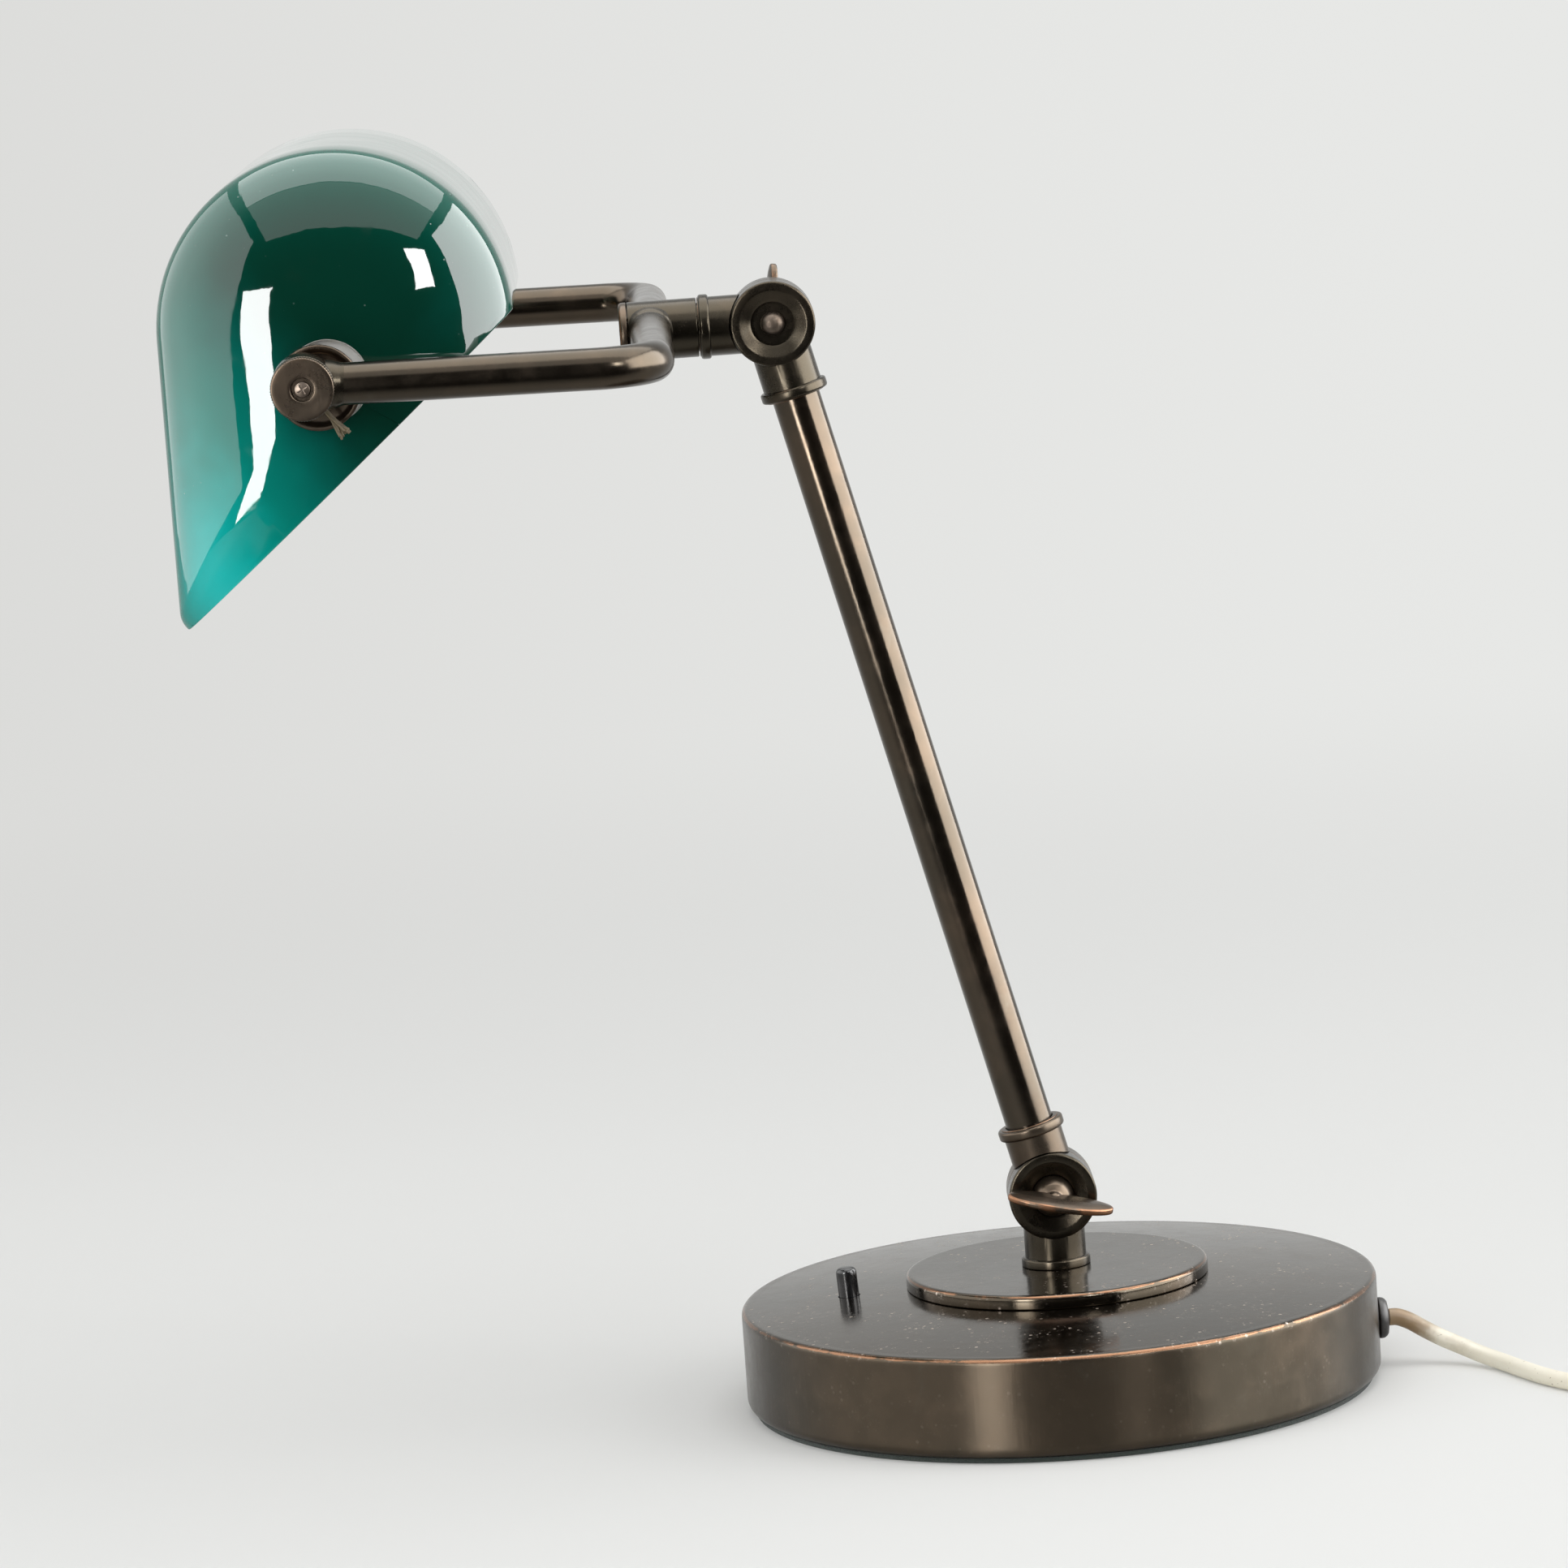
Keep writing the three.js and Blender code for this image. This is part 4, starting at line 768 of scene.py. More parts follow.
# Each finish with the function that makes it and the values that it is given
FINISHES = {
    "aged_bronze": (bronze, 0.05, 0.22, 0.5),
    "foot_bronze": (bronze, 0.15, 0.10, 0.4, True),
    "worn_bronze": (bronze, 0.35, 0.26, 0.0),
    "stem_bronze": (bronze, 0.1, 0.13, 0.0),
    "satin_bronze": (bronze, 0.1, 0.17, 0.25),
    "turned_brass": (turned_metal, "brass", (0.26, 0.17, 0.07), 0.26),
    "blade_brass": (turned_metal, (0.58, 0.45, 0.22), (0.36, 0.26, 0.12), 0.22),
    "plated_steel": (turned_metal, "steel", (0.20, 0.17, 0.14), 0.24),
    "screw_bronze": (turned_metal, (0.13, 0.105, 0.085), (0.06, 0.045, 0.034), 0.34),
    "grey_iron": (cast_iron,),
    "green_felt": (green_felt,),
    "black_plastic": (moulded, (0.010, 0.010, 0.011), (0.030, 0.030, 0.031), 0.16, 0.04),
    "black_rubber": (moulded, (0.012, 0.011, 0.010), (0.055, 0.050, 0.046), 0.42, 0.10),
    "white_fibre": (moulded, (0.93, 0.93, 0.90), (0.82, 0.80, 0.73), 0.5, 0.10),
    "white_porcelain": (moulded, (0.82, 0.80, 0.75), (0.68, 0.65, 0.58), 0.16, 0.03),
    "frosted_bulb": (moulded, (0.88, 0.87, 0.84), (0.82, 0.81, 0.77), 0.28, 0.05),
    "tan_thread": (moulded, (0.19, 0.145, 0.075), (0.36, 0.29, 0.17), 0.8, 0.3),
    "ivory_plug": (moulded, (0.80, 0.73, 0.55), (0.62, 0.53, 0.36), 0.34, 0.08),
    "emerald_glass": (emerald_glass,),
    "opal_glass": (opal_glass,),
    "ivory_cord": (cord_sheath,),
}


def finish(name):
    """The material of a finish, made when it is first asked for"""
    if name not in finishes:
        make, *values = FINISHES[name]
        finishes[name] = make(name, *values)
    return finishes[name]


# Camera, floor and lights


def window_light(name, place, towards, width, height, radiance, mirrored):
    """A rectangular light that faces a point, either for soft light or to be seen in polished surfaces"""
    data = bpy.data.lights.new(name, "AREA")
    data.shape = "RECTANGLE"
    data.size = width
    data.size_y = height
    data.energy = radiance * bpy.context.scene.lamp_stage.windows * width * height * math.pi
    lamp = placed(name, data)
    heading = Vector(towards) - Vector(place)
    lamp.matrix_world = Matrix.Translation(place) @ heading.to_track_quat("-Z", "Y").to_matrix().to_4x4()
    lamp.visible_camera = False
    lamp.visible_diffuse = not mirrored
    lamp.visible_glossy = mirrored


def studio_world():
    """Pale paper all round for the camera and for gloss, and a dark room low down on the camera's side"""
    stage = bpy.context.scene.lamp_stage
    world = bpy.data.worlds.new("studio_room")
    world.use_nodes = True
    room = NodeTree(world.node_tree, "Generated")
    path = room.nodes.new("ShaderNodeLightPath").outputs
    camera_side = room.ramp(room.along((0.985, 0.0, 0.17)), 0.15, 0.75)
    mirrored = room.mix(camera_side, stage.paper, (0.035, 0.033, 0.032))
    shiny = room.maths("MAXIMUM", path["Is Glossy Ray"], path["Is Transmission Ray"])
    lit = room.mix(shiny, (stage.room, stage.room, stage.room), mirrored)
    seen = room.mix(path["Is Camera Ray"], lit, stage.paper)
    room.links.new(seen, room.nodes["Background"].inputs["Color"])
    bpy.context.scene.world = world


def paper_floor():
    """A pale paper floor that keeps soft shadows, with painted shade to its left, and ends in front, where
    the room is dark
    """
    stage = bpy.context.scene.lamp_stage
    sheet = bmesh.new()
    bmesh.ops.create_grid(sheet, x_segments=1, y_segments=1, size=FLOOR_REACH)
    front = [vert for vert in sheet.verts if vert.co.x > 0]
    bmesh.ops.translate(sheet, vec=(FLOOR_FRONT - FLOOR_REACH, 0, 0), verts=front)
    mesh = bpy.data.meshes.new("paper_floor")
    sheet.to_mesh(mesh)
    sheet.free()
    floor = placed("paper_floor", mesh)
    shader = Shader("pale_paper")
    shader.set(Base_Color=stage.paper, Roughness=0.9, Specular_IOR_Level=0.1)
    glow = shader.nodes.new("ShaderNodeEmission")
    # Painted shade: the glow that camera and glossy rays see darkens towards the left, away from the light
    depth = shader.maths("SUBTRACT", 2.4, shader.part_of_place("X"))
    sideways = shader.ramp(shader.maths("DIVIDE", shader.part_of_place("Y"), depth), -0.17, 0.10)
    shader.put(glow.inputs["Color"], shader.mix(sideways, stage.paper_painted_shade, stage.paper))
    path = shader.nodes.new("ShaderNodeLightPath")
    seen = shader.maths("MAXIMUM", path.outputs["Is Camera Ray"], path.outputs["Is Glossy Ray"])
    distance = shader.nodes.new("ShaderNodeVectorMath")
    distance.operation = "LENGTH"
    shader.links.new(shader.place, distance.inputs[0])
    steady = shader.maths("MULTIPLY", seen, shader.ramp(distance.outputs["Value"], 0.35, 1.6, 0.22, 1.0))
    blend = shader.nodes.new("ShaderNodeMixShader")
    for socket, value in zip(blend.inputs, (steady, shader.surface.outputs[0], glow.outputs[0])):
        shader.links.new(value, socket)
    # Painted shade: near the camera the floor turns dark for glossy rays, standing in for the dark room in
    # reflections
    dark = shader.nodes.new("ShaderNodeBsdfDiffuse")
    dark.inputs["Color"].default_value = (0.02, 0.02, 0.02, 1.0)
    near_camera = shader.ramp(shader.part_of_place("X"), 0.16, 0.62)
    near_camera = shader.maths("MULTIPLY", path.outputs["Is Glossy Ray"], near_camera)
    near_camera = shader.maths("MULTIPLY", near_camera, shader.ramp(shader.part_of_place("Y"), -0.75, -0.35))
    fade = shader.nodes.new("ShaderNodeMixShader")
    for socket, value in zip(fade.inputs, (near_camera, blend.outputs[0], dark.outputs[0])):
        shader.links.new(value, socket)
    shader.links.new(fade.outputs[0], shader.nodes["Material Output"].inputs["Surface"])
    mesh.materials.append(shader.material)


def photo_camera():
    """A long lens a little above the lamp's side"""
    data = bpy.data.cameras.new("photo_camera")
    data.sensor_width = SENSOR_WIDTH
    data.lens = CAMERA_LENS
    data.clip_end = 100.0
    camera = placed("photo_camera", data)
    turn = Euler([math.radians(angle) for angle in CAMERA_TURN]).to_matrix().to_4x4()
    camera.matrix_world = Matrix.Translation(CAMERA_PLACE) @ turn
    bpy.context.scene.camera = camera


class LAMP_OT_stage(bpy.types.Operator):
    """Add the camera, the paper floor and the soft lights"""
    bl_idname = "desk_lamp.stage"
    bl_label = "Stage and Camera"

    def execute(self, context):
        context.scene.view_settings.view_transform = "Standard"
        photo_camera()
        studio_world()
        paper_floor()
        for name, place, width, height, radiance in SOFT_LIGHTS:
            window_light(name, place, LAMP_MIDDLE, width, height, radiance, False)
        for light in MIRRORED_LIGHTS:
            window_light(*light, True)
        return {"FINISHED"}


# Cord, plug and tie


def coil_point(turns):
    """A point on the coil, with the turns counted from its middle"""
    angle = COIL_MIDDLE + turns * math.tau
    radius = COIL_INNER + abs(turns) * COIL_PITCH
    share = min(max((turns + 0.25) / 0.5, 0.0), 1.0)
    climb = share * share * (3 - 2 * share)
    around = Vector((math.cos(angle), math.sin(angle), 0)) * radius
    return Vector((COIL_X, COIL_Y, COIL_FLOOR + climb * COIL_PITCH)) + around


def coil_end(sign):
    """Where the coil's last straight bit ends, and which way it points"""
    end = coil_point(sign * COIL_HALF_TURNS)
    heading = end - coil_point(sign * (COIL_HALF_TURNS - 1 / 24))
    heading.z = 0
    heading.normalize()
    return end + heading * CORD_RADIUS * 2, heading


def smooth_path(points, steps):
    """A smooth line through chosen points, with its pull taken from the distances between them"""
    line = []
    padded = [points[0] * 2 - points[1]] + points + [points[-1] * 2 - points[-2]]
    for first, second, third, fourth in zip(padded, padded[1:], padded[2:], padded[3:]):
        pairs = ((first, second), (second, third), (third, fourth))
        before, here, after = (max((end - start).length, 1e-6) ** 0.5 for start, end in pairs)
        leave = (second - first) / before - (third - first) / (before + here) + (third - second) / here
        arrive = (third - second) / here - (fourth - second) / (here + after) + (fourth - third) / after
        leave, arrive = leave * here, arrive * here
        for step in range(steps):
            t = step / steps
            line.append(
                second * (2 * t**3 - 3 * t**2 + 1) + leave * (t**3 - 2 * t**2 + t)
                + third * (3 * t**2 - 2 * t**3) + arrive * (t**3 - t**2)
            )
    return line + [points[-1]]


def cord_line():
    """Every point of the cord, from the grommet to the plug"""
    start, way_in = coil_end(-1)
    finish_place, way_out = coil_end(1)
    run = [Vector(place) for place in RUN_PLACES]
    run += [start + way_in * (GAP + CORD_RADIUS * 4), start + way_in * GAP]
    line = smooth_path(run, 6)
    count = round(2 * COIL_HALF_TURNS * bpy.context.scene.lamp_cord.steps)
    line += [coil_point(2 * COIL_HALF_TURNS * i / count - COIL_HALF_TURNS) for i in range(count + 1)]
    tail = []
    for i in range(9):
        share = i / 8
        point = finish_place + way_out * (GAP + TAIL_LENGTH * share)
        point.z += (PLUG_RADIUS - finish_place.z) * share * share * (3 - 2 * share)
        tail.append(point)
    return line + tail


def plug_frame():
    place, heading = coil_end(1)
    tip = place + heading * (GAP + TAIL_LENGTH + GAP)
    return shifted(tip.x, tip.y, PLUG_RADIUS) @ Matrix.Rotation(math.atan2(heading.y, heading.x), 4, "Z")


def moulded_plug():
    """Round plug body with a ribbed nose, made along X"""
    corners = [(0, 0), (PLUG_NOSE_RADIUS, 0, 0.8, 0)]
    for rib in range(4):
        place = 2.4 + rib * 2.3
        radius = PLUG_NOSE_RADIUS + 0.15 + (6.9 - PLUG_NOSE_RADIUS) * place / PLUG_NOSE
        corners += [(radius, place, 0.25, 0), (radius + 0.1, place + 1.1, 0.25, 0)]
        corners += [(radius - 0.45, place + 1.2), (radius - 0.4, place + 2.1)]
    end = PLUG_NOSE + PLUG_LENGTH
    corners += [(7.3, PLUG_NOSE + 0.2), (PLUG_RADIUS, PLUG_NOSE + 2.4, 0.9, 0)]
    for place in (19.0, 22.0, 25.0):
        corners += [
            (PLUG_RADIUS, place, 0.2, 0), (PLUG_RADIUS - 0.5, place + 0.4), (PLUG_RADIUS - 0.5, place + 1.0),
            (PLUG_RADIUS, place + 1.4, 0.2, 0),
        ]
    corners += [(PLUG_RADIUS, end, 1.6, 0), (0, end)]
    return lathe(corners, 64, along=facing("X"), at=plug_frame())


def plug_blade(side):
    """Flat blade with rounded end corners and a hole"""
    start = PLUG_NOSE + PLUG_LENGTH + GAP
    middle = shifted(start + 8.5, side * BLADE_PITCH / 2, 0)
    blade = slab(17, 1.5, 6.2, 0.45, middle)
    hole = bar(1.6, -3, 3, 24)
    settled(hole, facing("Y"), shifted(start + 12.5, side * BLADE_PITCH / 2, 0))
    return moved(carved(blade, hole), plug_frame())


def coil_band():
    """A soft band round one side of the coil, swept round four rounded corners"""
    start = COIL_INNER + COIL_PITCH / 2 - CORD_RADIUS - 2 * GAP
    end = COIL_INNER + 3.5 * COIL_PITCH + CORD_RADIUS + 2 * GAP
    top = COIL_FLOOR + COIL_PITCH + CORD_RADIUS + GAP
    thick, wide, corner = 0.8, 5.0, 2.5
    band = blank_body()
    bmesh.ops.create_grid(band, x_segments=1, y_segments=1, size=0.5)
    bmesh.ops.scale(band, vec=(wide * MM, thick * MM, 1.0), verts=band.verts)
    bmesh.ops.delete(band, geom=band.faces[:], context="FACES_ONLY")
    moved(band, Matrix.Rotation(math.pi / 2, 4, "Z") @ Matrix.Rotation(math.pi / 2, 4, "X"))
    bmesh.ops.translate(band, vec=((start + corner) * MM, 0, thick / 2 * MM), verts=band.verts)
    loop = band.edges[:]
    middles = (
        (end - corner, corner + thick), (end - corner, top - corner),
        (start + corner, top - corner), (start + corner, corner + thick),
    )
    legs = (end - start - 2 * corner, top - thick - 2 * corner) * 2
    headings = (Vector((1, 0, 0)), Vector((0, 0, 1)), Vector((-1, 0, 0)), Vector((0, 0, -1)))
    for (x, z), leg, heading in zip(middles, legs, headings):
        last = drawn_out(band, edges_of(loop), heading * leg * MM)
        loop = bmesh.ops.spin(
            band, geom=last, axis=(0, -1, 0), cent=(x * MM, 0, z * MM), angle=math.pi / 2, steps=6,
            use_merge=False,
        )["geom_last"]
    return settled(band, Matrix.Rotation(COIL_MIDDLE + math.pi, 4, "Z"), shifted(COIL_X, COIL_Y, 0))


class LAMP_OT_cord(bpy.types.Operator):
    """Lay the cord with its plug and coil tie"""
    bl_idname = "desk_lamp.cord"
    bl_label = "Cord and Plug"

    def execute(self, context):
        line = [point * MM for point in cord_line()]
        cord = round_curve("ivory_lead", [line], CORD_RADIUS * MM, 5, "ivory_cord", True)
        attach(cord, "base")
        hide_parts("cord_run", "cord_coil", "cord_tail")
        plug = piece("ribbed_plug", moulded_plug(), "base", ["ivory_plug"], ["plug_body"])
        for side, sign in (("left", -1), ("right", 1)):
            blade = plug_blade(sign)
            node = f"plug_blade_{side}"
            piece(f"brass_blade_{side}", blade, "base", ["blade_brass"], [node])
        tie = piece("coil_band", coil_band(), "base", ["white_fibre"], ["coil_tie"], smooth=50)
        return {"FINISHED"}


# Foot and switch


def foot_cover():
    """Spun cover with a crowned top, a rolled-in lip and holes for the button and the cord"""
    wall_line = FOOT_RADIUS - FOOT_WALL
    seat = CROWN_SEAT - FOOT_WALL
    corners = [
        (94, FOOT_BOTTOM), (FOOT_RADIUS, FOOT_BOTTOM, 3.0, 0.4),
        (FOOT_RADIUS, RIM_HEIGHT + 0.05, RIM_ROUNDING),
    ]
    rings = (96.5, 93, 88, 82, 76, 70, 64, 58, 53, PLINTH_SEAT)
    corners += [(radius, crown_height(radius)) for radius in rings]
    corners += [
        (NIPPLE_HOLE, CROWN_SEAT), (NIPPLE_HOLE, seat), (PLINTH_SEAT, seat), (96.6, 31.3), (wall_line, 29.5),
        (wall_line, 4.8), (97.0, 3.4), (94, 3.4), (94, FOOT_BOTTOM),
    ]
    button_hole = moved(bar(BUTTON_RADIUS + GAP, -6, 9, 40), SWITCH)
    cord_hole = settled(bar(5.3, 96.8, 102, 40), facing("Y"), shifted(0, 0, EXIT_HEIGHT))
    return carved(lathe(corners, 192, rounds=6), button_hole, cord_hole)


def foot_plinth():
    top = CROWN_SEAT + PLINTH_THICKNESS
    return lathe([
        (NIPPLE_HOLE, PLINTH_BOTTOM), (PLINTH_RADIUS, PLINTH_BOTTOM, 0.5, 0.5),
        (PLINTH_RADIUS, top, 1.5, 0.85), (NIPPLE_HOLE, top), (NIPPLE_HOLE, PLINTH_BOTTOM),
    ], 160, rounds=6)


def cord_bush():
    """Black mushroom grommet with its bore"""
    return lathe([
        (BUSH_BORE, 95.3), (6, 95.3, 0.4, 0), (6, 97.8, 0.4, 0), (5, 97.8), (5, 100.3), (6.5, 100.3, 0.35, 0),
        (6.5, 103.3, 2.2, 0), (3.3, 103.3, 0.4, 0), (BUSH_BORE, 102.4), (BUSH_BORE, 95.3),
    ], 64, along=facing("Y"), at=shifted(0, 0, EXIT_HEIGHT))


class LAMP_OT_foot(bpy.types.Operator):
    """Build the spun foot cover, its plinth, felt and cord grommet"""
    bl_idname = "desk_lamp.foot"
    bl_label = "Foot"

    def execute(self, context):
        cover = foot_cover()
        piece("spun_foot_cover", cover, "base", ["foot_bronze"], ["base_cover"], smooth=40)
        piece("turned_plinth", foot_plinth(), "base", ["foot_bronze"], ["plinth_disc"])
        felt = bar(FELT_RADIUS, 0, FELT_THICKNESS, 128, rounding=0.4)
        piece("felt_pad", felt, "base", ["green_felt"], ["base_felt"])
        piece("mushroom_grommet", cord_bush(), "base", ["black_rubber"], ["cord_grommet"])
        return {"FINISHED"}


class LAMP_OT_foot_inside(bpy.types.Operator):
    """Finish the weight, clamp fittings and terminal block inside the foot"""
    bl_idname = "desk_lamp.foot_inside"
    bl_label = "Inside of the Foot"

    def execute(self, context):
        dress("grey_iron", "base_weight")
        dress("turned_brass", "base_nipple", "base_nut", "terminal_screw_left", "terminal_screw_right")
        dress("plated_steel", "base_washer")
        dress("black_plastic", "terminal_block")
        low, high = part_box("cord_lead_in")
        inner, outer = low[1] / MM, high[1] / MM
        lead = lathe([
            (0, inner), (1.0, inner), (1.0, inner + 3), (CORD_RADIUS, inner + 3, 0.3, 0),
            (CORD_RADIUS, outer), (0, outer),
        ], 32, along=facing("Y"), at=shifted(0, 0, EXIT_HEIGHT))
        piece("stripped_lead", lead, "base", ["ivory_plug"], ["cord_lead_in"])
        return {"FINISHED"}


class LAMP_OT_switch(bpy.types.Operator):
    """Build the push button and finish the switch body"""
    bl_idname = "desk_lamp.switch"
    bl_label = "Push Switch"

    def execute(self, context):
        cap = lathe([
            (0, -BUTTON_STEM), (BUTTON_RADIUS, -BUTTON_STEM, 0.3, 0), (BUTTON_RADIUS, BUTTON_RISE, 1.5, 0),
            (0, BUTTON_RISE),
        ], 64, rounds=6, at=SWITCH)
        piece("round_push_button", cap, "button", ["black_plastic"], ["switch_button"])
        dress("black_plastic", "switch_body")
        return {"FINISHED"}


# Knuckles


def knuckle_half(side, arm, at, radius):
    """One dished half of a friction knuckle with the socket or neck that grows from it"""
    rim = DISH_RADIUS * radius / KNUCKLE_RADIUS
    disc = lathe([
        (SCREW_HOLE, 0.15), (radius, 0.15, 0.25, 0.3), (radius, KNUCKLE_HALF, 0.8, 0.42),
        (rim, KNUCKLE_HALF, 0.3, 0.2), (WELL_RADIUS, KNUCKLE_HALF - DISH_DEPTH, 0.2, 0.1),
        (WELL_RADIUS, WELL_FLOOR), (SCREW_HOLE, WELL_FLOOR), (SCREW_HOLE, 0.15),
    ], 96, along=facing("X", side))
    over = 0.1
    deep, high = WELL_FLOOR - over, KNUCKLE_HALF - over
    dish = lathe([
        (0, deep), (WELL_RADIUS + over, deep), (WELL_RADIUS + over, high - DISH_DEPTH), (rim + over, high),
        (radius - 3 * over, high), (radius - 3 * over, 12), (0, 12),
    ], 64, along=facing("X", side))
    other = settled(bar(radius + GAP, -12, 0.2, 64), facing("X", side))
    return moved(together(disc, carved(arm, dish, other)), at)


def beaded_socket(bead_radius, bead_place):
    """Socket with a rounded bead near its mouth and the bore for a tube"""
    low, high = bead_place - 1.6, bead_place + 1.6
    return lathe([
        (0, 2.5), (SOCKET_RADIUS, 2.5), (SOCKET_RADIUS, low), (bead_radius, low, 0.8, 0.5),
        (bead_radius, high, 0.8, 0.5), (SOCKET_RADIUS, high), (SOCKET_RADIUS, high + GAP, 0.2),
        (SOCKET_BORE, high + GAP), (SOCKET_BORE, 16), (0, 16),
    ], 96)


def foot_neck():
    bottom = CROWN_SEAT + PLINTH_THICKNESS - LOWER_PIVOT
    return lathe([
        (0, bottom), (COLLAR_RADIUS, bottom, 0.3, 0.5), (COLLAR_RADIUS, bottom + 3, 0.8, 0.5),
        (NECK_RADIUS, bottom + 3), (NECK_RADIUS, 0), (0, 0),
    ], 96)


class LAMP_OT_knuckles(bpy.types.Operator):
    """Build the four halves of the two friction knuckles"""
    bl_idname = "desk_lamp.knuckles"
    bl_label = "Friction Knuckles"

    def execute(self, context):
        down = Matrix.Rotation(math.pi, 4, "X")
        forward = facing("Y", -1)
        neck = knuckle_half(1, foot_neck(), shifted(0, 0, LOWER_PIVOT), LOWER_KNUCKLE_RADIUS)
        piece("neck_knuckle", neck, "base", ["aged_bronze"], ["base_neck"])
        low = knuckle_half(-1, beaded_socket(10.5, 21.6), STEM, LOWER_KNUCKLE_RADIUS)
        piece("stem_foot_knuckle", low, "stem", ["worn_bronze"], ["stem_foot_socket"])
        top = STEM @ shifted(0, 0, STEM_LENGTH)
        high = knuckle_half(1, settled(beaded_socket(10.5, 22.2), down), top, KNUCKLE_RADIUS)
        piece("stem_head_knuckle", high, "stem", ["aged_bronze"], ["stem_head_socket"])
        arm = knuckle_half(-1, settled(beaded_socket(10.0, 20.9), forward), FORK, KNUCKLE_RADIUS)
        piece("arm_knuckle", arm, "fork", ["aged_bronze"], ["arm_socket"])
        return {"FINISHED"}


def wing_nut(turn, flip, at, aside=0.0):
    """Wing nut: a domed hub that runs into a leaf-shaped plate with a ball in its middle"""
    foot = WELL_FLOOR + GAP
    hub = lathe([
        (0, foot), (6.4, foot, 0.3, 0.3), (6.4, foot + 4.6, 2.6, 0.2), (4.6, foot + 7.0, 1.2, 0),
        (2.7, foot + 8.0, 0.5, 0), (2.6, foot + 9.6, 0.8, 0.2), (1.5, foot + 10.9, 0.8, 0.3),
        (0, foot + 11.1),
    ], 64, rounds=6, along=facing("X"))
    plate = blank_body()
    worn = plate.verts.layers.float["edge_wear"]
    bmesh.ops.create_circle(plate, cap_ends=True, radius=1.0, segments=72)
    bmesh.ops.scale(plate, vec=(6.5 * MM, 16.6 * MM, 1.0), verts=plate.verts)
    bmesh.ops.translate(plate, vec=(0, 0, -1.0 * MM), verts=plate.verts)
    raised = bmesh.ops.extrude_face_region(plate, geom=plate.faces[:])["geom"]
    bmesh.ops.translate(plate, vec=(0, 0, 2.0 * MM), verts=points_of(raised))
    bmesh.ops.recalc_face_normals(plate, faces=plate.faces)
    rims = [edge for edge in plate.edges if edge.calc_face_angle(0) > 1.0]
    bevelled = bmesh.ops.bevel(
        plate, geom=rims, offset=0.55 * MM, affect="EDGES", segments=3, profile=0.5, material=-1
    )
    for vert in bevelled["verts"]:
        vert[worn] = 0.62
    flats = [face for face in plate.faces if len(face.verts) > 8]
    for _ in range(2):
        bmesh.ops.inset_region(plate, faces=flats, thickness=1.1 * MM, depth=0.22 * MM)
        for vert in {vert for face in flats for vert in face.verts}:
            vert[worn] = 0.0
    moved(plate, shifted(18.5, aside, 0) @ Matrix.Rotation(WING_TWIST, 4, "Y"))
    return moved(together(hub, plate), at @ flip @ Matrix.Rotation(turn, 4, "X"))


def domed_screw(side, at):
    """Clamp screw with a domed head, which shows in the knuckle's well"""
    head = WELL_FLOOR + GAP
    tip = -(WELL_FLOOR + GAP + 8)
    return lathe([
        (0, tip), (2.5, tip, 0.5, 0), (2.5, head), (3.7, head, 0.2, 0), (3.65, head + 1.3, 0.6, 0.3),
        (2.6, head + 2.8, 0.9, 0.6), (1.2, head + 3.3, 0.6, 0.6), (0, head + 3.4),
    ], 64, rounds=5, along=facing("X", side), at=at)


class LAMP_OT_clamps(bpy.types.Operator):
    """Build the two wing nuts and their clamp screws"""
    bl_idname = "desk_lamp.clamps"
    bl_label = "Wing Nuts and Screws"

    def execute(self, context):
        plain, around = Matrix.Identity(4), Matrix.Rotation(math.pi, 4, "Z")
        low = wing_nut(math.radians(-11.8), plain, shifted(0, 0, LOWER_PIVOT), 1.7)
        piece("leaf_wing_lower", low, "lower_wing", ["worn_bronze"], ["lower_wing_nut"])
        high = wing_nut(math.radians(97), around, FORK)
        piece("leaf_wing_upper", high, "upper_wing", ["worn_bronze"], ["upper_wing_nut"])
        top = STEM @ shifted(0, 0, STEM_LENGTH)
        for name, side, at in (("lower", -1, STEM), ("upper", 1, top)):
            screw, node = domed_screw(side, at), f"{name}_clamp_screw"
            piece(f"domed_screw_{name}", screw, "stem", ["screw_bronze"], [node])
        return {"FINISHED"}


# Stem


class LAMP_OT_stem(bpy.types.Operator):
    """Build the stem tube and the wire inside it"""
    bl_idname = "desk_lamp.stem"
    bl_label = "Stem"

    def execute(self, context):
        body = settled(tube(STEM_RADIUS, STEM_BORE, STEM_FROM, STEM_LENGTH - STEM_FROM, 96), STEM)
        piece("drawn_stem_tube", body, "stem", ["stem_bronze"], ["stem_tube"])
        wire = settled(bar(2.0, STEM_FROM, STEM_LENGTH - STEM_FROM, 24, 0.2), shifted(0, 4.0, 0), STEM)
        piece("stem_lead", wire, "stem", ["ivory_plug"], ["stem_wire"])
        return {"FINISHED"}


# Fork


def bent_arm(side):
    """A tube that leaves the hub sideways, bends forwards and runs to the shade's pivot"""
    arm = blank_body()
    start = shifted(side * ARM_ROOT, -HUB_CROSS, 0) @ facing("X", side)
    bmesh.ops.create_circle(arm, cap_ends=False, radius=FORK_RADIUS * MM, segments=64, matrix=start)
    bend_x, bend_y = FORK_HALF_SPAN - FORK_BEND, -(HUB_CROSS + FORK_BEND)
    bent = bmesh.ops.spin(
        arm, geom=drawn_out(arm, arm.edges[:], (side * (bend_x - ARM_ROOT) * MM, 0, 0)), axis=(0, 0, -side),
        cent=(side * bend_x * MM, bend_y * MM, 0), angle=math.pi / 2, steps=24, use_merge=False,
    )["geom_last"]
    reach = -(SHADE_REACH - BOSS_RADIUS + 3) - bend_y
    drawn_out(arm, edges_of(bent), (0, reach * MM, SHADE_RISE * MM))
    bmesh.ops.holes_fill(arm, edges=[edge for edge in arm.edges if edge.is_boundary], sides=0)
    return settled(arm, FORK)


